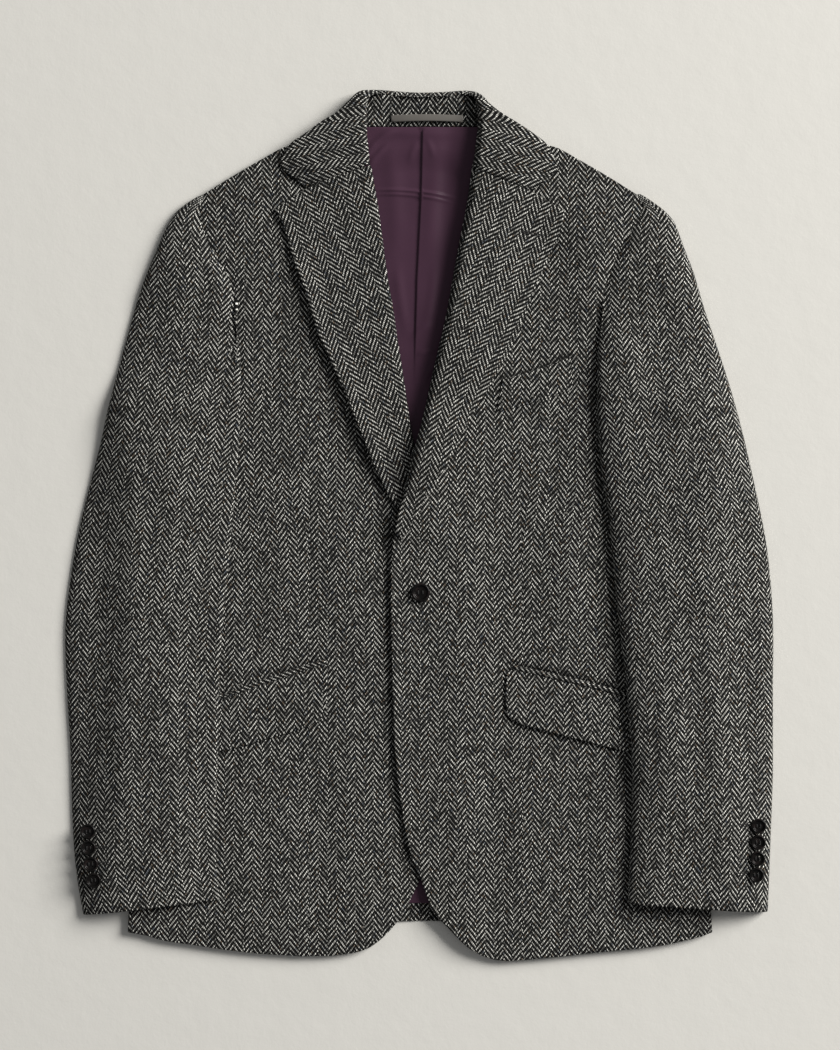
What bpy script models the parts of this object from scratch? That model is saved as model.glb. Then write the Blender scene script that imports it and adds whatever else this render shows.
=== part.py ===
"""Tweed hacking jacket, buttoned once and laid flat on its back, front side up.

Every panel is a closed cloth wall. Plan sizes are in millimetres, x across the
jacket and y from hem to collar, and the finished solids are in metres. Panels
that lie on one another share the height functions below, so each layer clears
the one under it by a named gap.
"""
from math import cos, hypot, pi, sin
from typing import NamedTuple

import bmesh
import bpy
from mathutils import Vector
from mathutils.geometry import delaunay_2d_cdt

# ---------------------------------------------------------------- dimensions
MM = 0.001

BACK_WALL = 2.4            # cloth with its lining and pressing, in mm
LINING_WALL = 1.0
FRONT_WALL = 3.0           # cloth, canvas and facing
LAPEL_WALL = 3.0
SLEEVE_WALL = 2.4
COLLAR_WALL = 2.6
TRIM_WALL = 2.2            # flaps, welt and jets

SEAM_GAP = 0.3             # between pieces that are sewn edge to edge
LAYER_GAP = 0.6            # between panels that lie on each other

LINING_UNDER = BACK_WALL + SEAM_GAP
LINING_TOP = LINING_UNDER + LINING_WALL
FRONT_UNDER = LINING_TOP + LAYER_GAP
FRONT_TOP = FRONT_UNDER + FRONT_WALL
OVERLAP_STEP = FRONT_WALL + LAYER_GAP      # the upper front rides over the lower one
LAPEL_GAP = 0.9            # under a lapel leaf, which springs from its roll
LAPEL_STEP = LAPEL_WALL + LAPEL_GAP + 0.3  # and over the lower lapel's end
NECK_STEP = COLLAR_WALL + SEAM_GAP         # the back rides over the collar fall

SLEEVE_DEPTH = 8.6         # a sleeve's two layers and the air between them
SLEEVE_EDGE = 6.5          # plan width of the rounding along a sleeve's edges
SLEEVE_LIP = 24.0          # how far the top sleeve turns under at each edge
CAP_LIP = 34.0             # the same round the back of the sleeve head
UNDERARM_Y = 98.0

FRONT_BUTTON_DIAMETER = 18.0
CUFF_BUTTON_DIAMETER = 14.4
BUTTON_HEIGHT = 3.4

MIDDLE = (-0.75, 0.14)      # plan centre of the whole jacket, moved to the origin


class Paint(NamedTuple):
    """Colour, roughness and metallic value of one material."""
    colour: tuple
    roughness: float
    metallic: float = 0.0


TWEED = Paint((0.075, 0.073, 0.068, 1.0), 0.95)
LINING = Paint((0.085, 0.046, 0.073, 1.0), 0.38)
LOOP = Paint((0.16, 0.15, 0.14, 1.0), 0.35)
HORN = Paint((0.012, 0.011, 0.011, 1.0), 0.30)


# ------------------------------------------------------------------- outlines
class Point(NamedTuple):
    """A place in plan."""
    x: float
    y: float


def points(*pairs):
    """Plan points from x, y pairs."""
    return [Point(x, y) for x, y in pairs]


# The body's own side, the same for front and back, from hem to underarm.
SIDE = points((278.0, -387.5), (277.0, -366.0), (269.0, -290.0), (261.0, -200.0),
              (253.0, -100.0), (251.0, -30.0), (254.0, 40.0), (262.0, UNDERARM_Y))
# Shoulder from the sleeve head to the neck, drawn in under the collar.
SHOULDER = points((206.0, 314.5), (184.0, 328.0), (150.0, 346.5), (136.0, 352.5),
                  (127.0, 352.5), (118.0, 354.0), (110.0, 359.5), (103.0, 365.5),
                  (91.0, 374.0), (79.0, 382.0), (68.5, 389.0), (61.5, 395.0))
# Where the front's own edge stops beside the collar's roll, up to the shoulder.
OVER_NECK = points((55.5, 346.0), (58.0, 358.0), (59.8, 372.0), (60.6, 385.0))
UNDER_NECK = points((-53.0, 348.0), (-54.8, 358.0), (-56.2, 372.0), (-57.5, 385.0))

# Armholes from the underarm up to the shoulder, all on the right.
RIGHT_ARMHOLE = points((240.0, 96.0), (214.0, 103.0), (194.0, 121.0), (182.0, 148.0),
                       (177.0, 178.0), (175.5, 197.0), (173.6, 208.0), (179.6, 236.0),
                       (187.3, 256.5), (196.2, 274.5), (208.0, 290.5), (211.6, 301.0))
LEFT_ARMHOLE = points((240.0, 96.0), (214.0, 103.0), (194.0, 121.0), (182.0, 148.0),
                      (177.5, 178.0), (176.8, 197.0), (175.6, 208.0), (183.6, 238.0),
                      (196.3, 259.5), (207.3, 281.5), (210.3, 302.0))
BACK_ARMHOLE = points((240.0, 96.0), (222.0, 106.0), (212.0, 130.0), (208.0, 165.0),
                      (207.0, 210.0), (207.5, 260.0), (207.5, 290.0))

# Free edge of the front that laps over, from the cutaway up to the lapel.
OVER_CUTAWAY = points((72.0, -414.0), (58.0, -409.5), (47.0, -403.0), (35.0, -392.0),
                      (23.0, -379.0), (15.0, -372.0), (8.6, -359.0), (4.0, -346.0),
                      (0.0, -334.0), (-5.7, -323.0), (-12.4, -299.0), (-19.0, -261.0),
                      (-24.0, -214.0), (-26.0, -166.0), (-27.0, -119.0), (-28.0, -71.0),
                      (-27.6, -33.0), (-25.5, -14.0))
OVER_HEM = points((83.0, -415.0), (104.5, -413.5), (141.0, -410.0), (177.0, -406.0),
                  (209.0, -403.0), (244.0, -397.5), (268.0, -391.5))
UNDER_CUTAWAY = points((-86.0, -410.0), (-68.0, -408.0), (-51.0, -404.0), (-38.0, -395.0),
                       (-28.0, -385.5), (-16.0, -369.0), (-6.0, -350.0), (0.0, -337.0),
                       (8.0, -315.0), (17.0, -283.0), (24.0, -240.0), (27.0, -185.0),
                       (28.0, -100.0), (26.0, -45.0), (22.0, -15.0), (15.0, 6.0))
UNDER_HEM = points((-114.0, -410.4), (-162.5, -407.0), (-194.0, -403.0), (-223.0, -398.5),
                   (-242.0, -396.0), (-259.0, -391.0))

# Roll lines, where the lapels and collar fold back, from the button up to the gorge.
OVER_ROLL = points((-24.0, -7.0), (-20.6, 12.0), (-14.6, 32.0), (-7.3, 64.0),
                   (5.7, 115.0), (12.0, 145.0), (25.0, 200.5), (31.0, 234.0),
                   (37.0, 268.0), (44.0, 302.0), (49.0, 338.0))
UNDER_ROLL = points((4.5, 20.0), (2.0, 40.0), (-2.0, 60.0), (-7.6, 87.0), (-15.6, 141.0),
                    (-21.0, 175.0), (-26.0, 209.0), (-30.4, 234.0), (-35.0, 268.0),
                    (-39.0, 298.0), (-46.5, 341.5))
# Lapel leaves from the gorge, round the point and down the edge to the button.
OVER_LAPEL = points((50.4, 337.5), (53.2, 336.4), (82.0, 325.8), (105.0, 317.0), (137.3, 297.4),
                    (134.0, 282.0), (127.6, 265.0), (120.0, 249.0), (113.0, 233.0), (107.0, 219.0),
                    (98.0, 194.0), (85.5, 166.0), (74.0, 145.0), (63.0, 126.0),
                    (52.0, 110.0), (40.0, 86.5), (25.0, 57.0), (11.0, 32.0), (-4.0, 9.0),
                    (-12.0, -8.0), (-19.0, -14.0))
UNDER_LAPEL = points((-47.9, 341.0), (-50.7, 340.1), (-82.0, 330.2), (-107.0, 320.2), (-138.7, 300.0),
                     (-134.0, 294.5), (-129.0, 281.0), (-124.5, 267.0), (-119.0, 247.0), (-111.5, 229.0),
                     (-104.0, 204.0), (-98.0, 185.0), (-83.0, 151.0), (-73.0, 129.0),
                     (-63.0, 104.0), (-52.0, 77.0), (-43.0, 54.0), (-33.0, 34.0),
                     (-22.0, 15.0), (-12.0, 8.0), (0.0, 9.0))


class SleeveRow(NamedTuple):
    """One station across a sleeve, mirrored on the left: inner and outer edge."""
    inner_x: float
    inner_y: float
    outer_x: float
    outer_y: float


RIGHT_SLEEVE = [SleeveRow(*row) for row in (
    (207.5, 315.0, 213.5, 313.0), (214.0, 302.0, 232.0, 300.0), (209.0, 289.0, 243.0, 287.0),
    (197.0, 274.0, 249.0, 270.0), (188.3, 256.0, 256.0, 252.0), (180.5, 236.0, 262.0, 236.0),
    (174.5, 208.0, 270.0, 208.0), (170.0, 181.0, 279.0, 181.0), (168.0, 142.0, 292.0, 142.0),
    (168.0, 106.0, 302.0, 106.0), (170.0, 74.0, 310.0, 76.0), (173.0, 43.0, 317.0, 45.0),
    (179.0, 11.0, 324.0, 13.0), (181.5, -20.0, 330.0, -18.0), (186.0, -67.0, 335.0, -67.0),
    (190.5, -109.0, 336.5, -109.0), (194.5, -140.0, 336.0, -140.0),
    (196.5, -170.0, 336.0, -170.0), (200.0, -207.0, 336.0, -207.0),
    (201.5, -240.0, 336.0, -240.0), (200.5, -291.0, 334.0, -292.0),
    (198.5, -330.0, 332.5, -333.0), (197.5, -358.0, 331.0, -367.0))]
LEFT_SLEEVE = [SleeveRow(*row) for row in (
    (207.5, 314.0, 213.0, 312.0), (211.5, 302.0, 231.0, 300.0), (208.3, 281.0, 243.0, 281.0),
    (197.3, 259.0, 251.0, 262.0), (184.5, 238.0, 259.0, 243.0), (177.4, 214.0, 267.0, 222.0),
    (173.0, 179.0, 276.0, 190.0), (170.0, 150.0, 284.0, 161.0), (171.0, 116.0, 293.0, 126.0),
    (171.3, 98.0, 298.5, 104.0), (172.0, 74.0, 303.0, 82.0), (175.0, 43.0, 312.0, 48.0), (179.0, -5.0, 324.0, 0.0),
    (182.0, -41.0, 331.0, -38.0), (187.0, -90.0, 338.0, -90.0),
    (189.5, -130.0, 337.5, -131.0), (191.0, -163.0, 336.0, -165.0),
    (191.6, -195.0, 334.0, -197.0), (192.0, -221.0, 332.5, -225.0),
    (194.0, -265.0, 331.5, -270.0), (194.5, -318.0, 328.5, -325.0),
    (190.0, -355.0, 320.5, -370.0))]


class CollarRow(NamedTuple):
    """One station along the collar, from its roll out, over the edge and under."""
    roll_x: float
    roll_y: float
    out_x: float           # leaf edge in front, silhouette round the neck
    out_y: float
    edge_x: float          # fall edge beneath the jacket
    edge_y: float
    wrap: float            # how much of the way under the cloth goes, 0 to 1
    inner_drop: float      # how far the roll's inner edge turns down


# From the left gorge, over the back of the neck, to the right gorge.
COLLAR = [CollarRow(*row) for row in (
    (-47.3, 343.2, -107.2, 322.0, -107.0, 326.0, 0.0, 3.6),
    (-48.2, 351.0, -129.0, 337.5, -125.0, 340.0, 0.0, 3.6),
    (-49.0, 358.0, -131.5, 346.5, -127.0, 348.0, 0.0, 3.6),
    (-50.0, 367.0, -124.0, 362.0, -117.0, 357.0, 0.2, 3.6),
    (-50.5, 377.0, -110.0, 372.0, -102.0, 361.0, 0.8, 3.0),
    (-50.8, 387.0, -95.0, 383.0, -84.0, 363.0, 1.0, 2.8),
    (-50.6, 395.5, -81.0, 391.5, -68.0, 365.0, 1.0, 2.4),
    (-49.8, 402.0, -69.0, 402.5, -52.0, 366.0, 1.0, 2.0),
    (-46.0, 405.5, -57.5, 413.0, -38.0, 366.0, 1.0, 0.5),
    (-38.0, 405.5, -42.0, 415.5, -28.0, 366.0, 1.0, 0.0),
    (-22.0, 404.5, -23.0, 413.0, -15.0, 366.0, 1.0, 0.0),
    (0.0, 403.5, 0.0, 411.6, 0.0, 366.0, 1.0, 0.0),
    (24.0, 404.5, 25.0, 412.5, 16.0, 366.0, 1.0, 0.0),
    (42.0, 405.5, 45.0, 414.2, 30.0, 366.0, 1.0, 0.0),
    (50.0, 404.5, 57.5, 410.0, 40.0, 366.0, 1.0, 0.5),
    (53.8, 399.0, 68.0, 399.0, 53.0, 366.0, 1.0, 2.0),
    (54.6, 392.0, 79.0, 390.5, 67.0, 365.0, 1.0, 2.4),
    (55.0, 384.0, 92.0, 382.5, 82.0, 363.0, 1.0, 2.8),
    (54.6, 375.0, 108.0, 372.0, 100.0, 361.0, 0.8, 3.0),
    (53.3, 366.0, 121.0, 361.5, 114.0, 357.0, 0.2, 3.6),
    (52.4, 358.0, 127.0, 348.5, 123.0, 349.0, 0.0, 3.6),
    (51.6, 350.5, 129.0, 336.0, 125.0, 340.0, 0.0, 3.6),
    (49.2, 339.8, 105.3, 318.3, 105.0, 322.0, 0.0, 3.6))]
COLLAR_FALL = points((-124.0, 363.0), (-96.0, 346.0), (-60.0, 352.0), (-25.0, 360.0),
                     (0.0, 362.0), (25.0, 360.0), (60.0, 352.0), (94.0, 346.0),
                     (122.0, 362.0), (92.0, 382.0), (60.0, 409.0), (0.0, 412.0),
                     (-60.0, 409.0), (-92.0, 382.0))

# Pocket pieces: flaps hang from their jets, the welt stands at the chest.
RIGHT_FLAP = points((82.7, -139.0), (81.7, -174.0), (83.6, -181.0), (90.0, -186.0),
                    (122.6, -196.5), (155.0, -205.0), (192.0, -214.0), (222.0, -219.0),
                    (226.5, -213.0), (229.0, -171.5), (192.0, -162.8), (155.0, -153.3),
                    (122.6, -145.8), (87.4, -137.8))
LEFT_FLAP = points((-87.5, -133.6), (-90.0, -174.0), (-92.0, -182.0), (-99.0, -188.0),
                   (-127.0, -198.0), (-161.0, -208.0), (-189.0, -215.0), (-226.0, -222.0),
                   (-231.0, -216.0), (-233.5, -170.5), (-183.0, -161.8), (-164.0, -152.8),
                   (-144.0, -145.8), (-127.0, -143.8), (-109.0, -137.8), (-91.0, -133.8))
RIGHT_JET = points((87.0, -132.8), (87.2, -137.2), (122.4, -145.3), (154.8, -152.8),
                   (191.8, -162.3), (227.0, -170.6), (228.0, -166.2), (192.0, -157.6),
                   (155.0, -148.2), (122.6, -140.6))
LEFT_JET = points((-89.5, -128.8), (-109.0, -133.0), (-127.0, -139.0), (-144.0, -141.0),
                  (-164.0, -148.0), (-183.0, -157.0), (-232.0, -165.6), (-232.8, -170.0),
                  (-183.2, -161.3), (-164.2, -152.3), (-144.2, -145.3), (-127.2, -143.3),
                  (-109.2, -137.3), (-90.0, -133.1))
CHEST_WELT = points((73.0, 108.0), (97.0, 113.5), (121.0, 120.5), (145.0, 129.0),
                    (143.0, 159.5), (121.0, 151.0), (99.0, 143.5), (78.0, 138.0))

LINING_OUTLINE = points((-240.0, -362.0), (0.0, -360.0), (240.0, -362.0), (240.0, -200.0),
                        (236.0, 60.0), (196.0, 110.0), (196.0, 280.0), (150.0, 320.0),
                        (100.0, 345.0), (70.0, 366.0), (55.5, 378.6), (0.0, 378.6),
                        (-53.0, 378.6), (-70.0, 366.0), (-100.0, 345.0), (-150.0, 320.0),
                        (-196.0, 280.0), (-196.0, 110.0), (-236.0, 60.0), (-240.0, -200.0))
STAND_OUTLINE = points((-56.8, 379.3), (-30.0, 379.0), (0.0, 379.0), (30.0, 379.0),
                       (57.2, 379.3), (56.8, 392.0), (55.0, 400.0), (49.0, 406.0),
                       (25.0, 408.0), (0.0, 407.2), (-25.0, 408.0), (-46.0, 407.0),
                       (-53.5, 401.0), (-56.4, 392.0))
BACK_NECK = points((0.15, 378.4), (30.0, 378.4), (58.4, 378.6), (60.6, 385.0))
LOOP_OUTLINE = points((-27.5, 383.2), (6.0, 383.8), (41.0, 383.2), (41.0, 389.8),
                      (6.0, 390.4), (-27.5, 389.8))


# -------------------------------------------------------------------- curves
def mirrored(outline):
    """The same plan points on the other side, in reverse order."""
    return [Point(-p.x, p.y) for p in reversed(outline)]


def blend(low, high, value):
    """A smooth step from 0 below low to 1 above high."""
    t = min(max((value - low) / (high - low), 0.0), 1.0)
    return t * t * (3.0 - 2.0 * t)


def curve_value(a, b, c, d, t):
    """Catmull-Rom value between b and c."""
    return 0.5 * (2.0 * b + (c - a) * t + (2.0 * a - 5.0 * b + 4.0 * c - d) * t * t
                  + (3.0 * b - a - 3.0 * c + d) * t ** 3)


def smooth_rows(rows, steps):
    """Rows with steps - 1 more between each two, on a smooth curve."""
    kind, out = type(rows[0]), []
    for i in range(len(rows) - 1):
        four = rows[max(i - 1, 0)], rows[i], rows[i + 1], rows[min(i + 2, len(rows) - 1)]
        out += [kind(*(curve_value(*values, k / steps) for values in zip(*four)))
                for k in range(steps)]
    return out + [rows[-1]]


def inside(outline, x, y):
    """Whether a place lies inside a closed outline."""
    found = False
    for a, b in zip(outline, outline[1:] + outline[:1]):
        if (a.y > y) != (b.y > y) and x < a.x + (b.x - a.x) * (y - a.y) / (b.y - a.y):
            found = not found
    return found


def distance(line, x, y):
    """The shortest distance from a place to an open line of points."""
    best = 1e9
    for a, b in zip(line, line[1:]):
        run_x, run_y = b.x - a.x, b.y - a.y
        t = ((x - a.x) * run_x + (y - a.y) * run_y) / (run_x * run_x + run_y * run_y)
        t = min(max(t, 0.0), 1.0)
        best = min(best, hypot(x - a.x - t * run_x, y - a.y - t * run_y))
    return best


def outside_by(outline, x, y):
    """How far a place lies outside a closed outline, 0 inside it."""
    if inside(outline, x, y):
        return 0.0
    return distance(outline + outline[:1], x, y)


def moved_in(line, inset):
    """A line moved sideways to its left by inset(point) at each point."""
    out = []
    for i, p in enumerate(line):
        a, b = line[max(i - 1, 0)], line[min(i + 1, len(line) - 1)]
        length = hypot(b.x - a.x, b.y - a.y)
        by = inset(p)
        out.append(Point(p.x - by * (b.y - a.y) / length, p.y + by * (b.x - a.x) / length))
    return out


# ------------------------------------------------------------ layer heights
def turn_down(p):
    """How strongly a roll turns down at a point: fully above the button's lapel end."""
    return blend(15.0, 70.0, p.y)


NECK_Y = 300.0             # above this the panels ride over the collar fall
ROLL_CLEARANCE = 5.6       # from a roll's outer side to the front's own edge

BODY = (UNDER_HEM[::-1] + OVER_HEM + SIDE + RIGHT_ARMHOLE + SHOULDER
        + mirrored(SHOULDER) + mirrored(LEFT_ARMHOLE) + mirrored(SIDE))


NECK_RAMP = (2.0, 26.0)    # the lift below starts and ends this far from the fall
FALL_EDGE = COLLAR_FALL[:9]
NECK_LINES = [moved_in(FALL_EDGE, lambda p, d=out: -d) for out in (2.0, 8.0, 14.0, 20.0, 26.0)]


def rows_beside(roll, side):
    """Rows of points down a lapel, shared by the front beneath it."""
    return [spaced_line(moved_in(roll, lambda p, d=out: side * d), 16.0)
            for out in (13.0, 26.0, 40.0)]


def neck_rise(x, y):
    """Lift of every body layer where the collar fall lies beneath it."""
    if y < NECK_Y:
        return 0.0
    return NECK_STEP * (1.0 - blend(*NECK_RAMP, outside_by(COLLAR_FALL, x, y)))


def over_rise(x, y):
    """Lift of the upper front over the lower front and the lower lapel's end."""
    lap = (1.0 - blend(30.0, 75.0, x)) * (1.0 - blend(70.0, 150.0, y))
    lapel = (1.0 - blend(8.0, 45.0, x)) * blend(-28.0, -2.0, y) * (1.0 - blend(84.0, 130.0, y))
    return OVERLAP_STEP * lap + LAPEL_STEP * lapel


def front_under(x, y, upper):
    """Underside of a front: the upper one laps over at the right."""
    return FRONT_UNDER + neck_rise(x, y) + (over_rise(x, y) if upper else 0.0)


def front_top(x, y, upper):
    """Top face of a front."""
    return front_under(x, y, upper) + FRONT_WALL


def flap_rise(x, y, flap):
    """Lift of the sleeve over a pocket flap and its jet."""
    if not -260.0 < y < -90.0:
        return 0.0
    return (TRIM_WALL + LAYER_GAP) * (1.0 - blend(14.0, 40.0, outside_by(flap, x, y)))


def body_cover(x, y):
    """Height of what lies under a sleeve: the body inside its outline, then the floor."""
    rise = 1.0 - blend(11.0, 28.0, outside_by(BODY, x, y))
    flap = RIGHT_FLAP if x > 0.0 else LEFT_FLAP
    return (FRONT_TOP + LAYER_GAP) * rise + flap_rise(x, y, flap) * rise


# -------------------------------------------------------------- wall building
def placed(x, y, z):
    """A place in the jacket's millimetres as a vector in metres."""
    return Vector(((x - MIDDLE[0]) * MM, (y - MIDDLE[1]) * MM, z * MM))


def material(name, paint):
    """A plain Principled material of its own for one piece."""
    made = bpy.data.materials.new(name)
    made.use_nodes = True
    shader = made.node_tree.nodes["Principled BSDF"]
    shader.inputs["Base Color"].default_value = paint.colour
    shader.inputs["Roughness"].default_value = paint.roughness
    shader.inputs["Metallic"].default_value = paint.metallic
    return made


def add_object(name, mesh, paint):
    """Link a mesh as a named piece of the jacket."""
    made = bpy.data.objects.new(name, mesh)
    mesh.materials.append(material(name, paint))
    bpy.context.scene.collection.objects.link(made)
    return made


def closed_mesh(name, verts, faces, paint):
    """A mesh from points and faces, with its faces turned outwards."""
    mesh = bpy.data.meshes.new(name)
    mesh.from_pydata(verts, [], faces)
    shape = bmesh.new()
    shape.from_mesh(mesh)
    bmesh.ops.triangulate(shape, faces=shape.faces[:])
    bmesh.ops.recalc_face_normals(shape, faces=shape.faces[:])
    shape.to_mesh(mesh)
    shape.free()
    mesh.shade_smooth()
    mesh.set_sharp_from_angle(angle=0.9)
    return add_object(name, mesh, paint)


def spaced_line(line, longest):
    """A line of points with no edge longer than the given length, closer at the neck."""
    out = []
    for a, b in zip(line, line[1:]):
        step = longest if min(a.y, b.y) < NECK_Y else min(longest, 9.0)
        parts = max(1, round(hypot(b.x - a.x, b.y - a.y) / step))
        out += [Point(a.x + (b.x - a.x) * k / parts, a.y + (b.y - a.y) * k / parts)
                for k in range(parts)]
    return out


def laid_panel(name, outline, spacing, under, wall, paint, lines=()):
    """A cloth wall over a plan outline: under(x, y) is its lower face.

    lines are rows of extra points inside it, where its height changes quickly.
    """
    rim = spaced_line(outline + outline[:1], spacing)
    closed = rim + rim[:1]
    plan = [Vector((p.x, p.y)) for p in rim]
    edges = [(i, (i + 1) % len(rim)) for i in range(len(rim))]
    extra = []
    for line in lines:
        last = None
        for p in line:
            if inside(rim, p.x, p.y) and distance(closed, p.x, p.y) > 0.9:
                plan.append(Vector((p.x, p.y)))
                extra.append(p)
                if last is not None:
                    edges.append((last, len(plan) - 1))
                last = len(plan) - 1
            else:
                last = None
    low_x, high_x = min(p.x for p in rim), max(p.x for p in rim)
    low_y, high_y = min(p.y for p in rim), max(p.y for p in rim)
    row, y = 0, low_y + spacing * 0.5
    while y < high_y:
        x = low_x + spacing * (0.5 if row % 2 else 1.0)
        while x < high_x:
            clear = distance(closed, x, y) > spacing * 0.45
            crowded = any(hypot(p.x - x, p.y - y) < spacing * 0.5 for p in extra)
            if inside(rim, x, y) and clear and not crowded:
                plan.append(Vector((x, y)))
            x += spacing
        row, y = row + 1, y + spacing * 0.87
    flat, _, cells, *_ = delaunay_2d_cdt(plan, edges, [], 1, 1e-4)
    count = len(flat)
    heights = [under(p.x, p.y) for p in flat]
    verts = [placed(p.x, p.y, z) for p, z in zip(flat, heights)]
    verts += [placed(p.x, p.y, z + wall) for p, z in zip(flat, heights)]
    faces = [tuple(reversed(c)) for c in cells] + [tuple(i + count for i in c) for c in cells]
    used = {(a, b) for cell in cells for a, b in zip(cell, cell[1:] + cell[:1])}
    faces += [(a, b, b + count, a + count) for a, b in sorted(used) if (b, a) not in used]
    return closed_mesh(name, verts, faces, paint)


def shell(name, outer, inner, paint):
    """A cloth wall between two grids of places with the same rows and columns."""
    rows, columns = len(outer), len(outer[0])
    verts = [placed(*p) for row in outer for p in row]
    verts += [placed(*p) for row in inner for p in row]
    half = rows * columns

    def corner(side, i, j):
        return side * half + i * columns + j

    faces = []
    for i in range(rows - 1):
        for j in range(columns - 1):
            face = [corner(0, i, j), corner(0, i + 1, j), corner(0, i + 1, j + 1),
                    corner(0, i, j + 1)]
            faces += [tuple(face), tuple(k + half for k in reversed(face))]
    for i in range(rows - 1):
        for j in (0, columns - 1):
            faces.append((corner(0, i, j), corner(0, i + 1, j), corner(1, i + 1, j),
                          corner(1, i, j)))
    for j in range(columns - 1):
        for i in (0, rows - 1):
            faces.append((corner(0, i, j), corner(0, i, j + 1), corner(1, i, j + 1),
                          corner(1, i, j)))
    return closed_mesh(name, verts, faces, paint)


def unit(vector):
    """The vector at length 1, or straight up where it has no length."""
    return vector.normalized() if vector.length > 1e-9 else Vector((0.0, 0.0, 1.0))


def thickened(grid, wall, outwards):
    """The grid moved inwards by the wall, square to its own surface."""
    rows, columns, out = len(grid), len(grid[0]), []
    for i in range(rows):
        row = []
        for j in range(columns):
            down = Vector(grid[min(i + 1, rows - 1)][j]) - Vector(grid[max(i - 1, 0)][j])
            across = Vector(grid[i][min(j + 1, columns - 1)]) - Vector(grid[i][max(j - 1, 0)])
            row.append(tuple(Vector(grid[i][j]) - outwards * wall * unit(across.cross(down))))
        out.append(row)
    return out


def spaced_path(path, count):
    """count places spaced evenly along a path of vectors."""
    lengths = [0.0]
    for a, b in zip(path, path[1:]):
        lengths.append(lengths[-1] + (b - a).length)
    out, k = [], 0
    for n in range(count):
        at = lengths[-1] * n / (count - 1)
        while k < len(path) - 2 and lengths[k + 1] < at:
            k += 1
        part = (at - lengths[k]) / max(lengths[k + 1] - lengths[k], 1e-9)
        out.append(path[k].lerp(path[k + 1], min(part, 1.0)))
    return out


# -------------------------------------------------------------------- sleeves
CAP_Y = (120.0, 255.0)     # the sleeve head sinks from full depth to the armhole seam
FOLD_Y = (112.0, 190.0)    # its inner fold opens over this stretch
ON_BODY_Y = (112.0, 140.0)
CAP_EDGE_HEIGHT = 9.5
BACK_ARMHOLE_X = 210.0     # the lip stops short of the back panel's armhole


def under_sleeve_height(x, y):
    """What a sleeve's underside rests on: the body, then the floor by the armhole."""
    return body_cover(x, y) * (1.0 - blend(106.0, 140.0, y))


def sleeve_top_height(x, y, along, width):
    """Top face of a sleeve, a distance along the section from its inner edge."""
    head = FRONT_TOP + 0.4
    full = FRONT_TOP + LAYER_GAP + SLEEVE_DEPTH
    inner = full + (head - full) * blend(*CAP_Y, y)
    cap = inner + (CAP_EDGE_HEIGHT - inner) * blend(0.0, 0.8 * width, along)
    flat = body_cover(x, y) + SLEEVE_DEPTH
    share = blend(*ON_BODY_Y, y)
    return cap * share + flat * (1.0 - share)


def lips(row):
    """How far the top sleeve turns under at its inner and outer edge."""
    fold = 1.0 - blend(*FOLD_Y, row.inner_y)
    edge = min(SLEEVE_EDGE, 0.3 * (row.outer_x - row.inner_x))
    outer = SLEEVE_LIP + (CAP_LIP - SLEEVE_LIP) * blend(90.0, 150.0, row.outer_y)
    if row.outer_y > UNDERARM_Y:
        outer = min(outer, row.outer_x - edge - BACK_ARMHOLE_X)
    return fold, SLEEVE_LIP * blend(0.6, 1.0, fold), outer


def sleeve_section(row, side):
    """Outer path of the top sleeve across one station, from lip to lip."""
    inner = Vector((side * row.inner_x, row.inner_y, 0.0))
    outer = Vector((side * row.outer_x, row.outer_y, 0.0))
    width = (outer - inner).length
    way = (outer - inner) / width
    fold, inner_lip, outer_lip = lips(row)
    edge = min(SLEEVE_EDGE, 0.3 * width)

    def plan(along):
        return inner + way * along

    def top(along):
        p = plan(along)
        return sleeve_top_height(p.x, p.y, along, width)

    def base(along):
        p = plan(along)
        rests_on = body_cover if along < width / 2 else under_sleeve_height
        return rests_on(p.x, p.y)

    def at(along, z):
        p = plan(along)
        return Vector((p.x, p.y, z))

    start = []
    if inner_lip > 0.5:
        start += [at(edge + inner_lip * (1.0 - k / 6), base(edge + inner_lip * (1.0 - k / 6)))
                  for k in range(6)]
    low, high = base(edge), top(edge)
    for k in range(13):
        angle = pi / 2 - pi * fold * (1.0 - k / 12)
        start.append(at(edge * fold * (1.0 - cos(angle)) + edge * (1.0 - fold) * k / 12,
                        (low + high) / 2 + (high - low) / 2 * sin(angle)))
    flat_end = width - edge
    middle = [at(edge + (flat_end - edge) * k / 24, top(edge + (flat_end - edge) * k / 24))
              for k in range(25)]
    low, high = base(flat_end), top(flat_end)
    end = [at(flat_end + edge * cos(angle), (low + high) / 2 + (high - low) / 2 * sin(angle))
           for angle in (pi / 2 - pi * k / 12 for k in range(13))]
    end += [at(flat_end - outer_lip * k / 6, base(flat_end - outer_lip * k / 6))
            for k in range(1, 7)]
    return (spaced_path(start, 7)[:-1] + spaced_path(middle, 8)[:-1]
            + spaced_path(end, 8))


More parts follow.
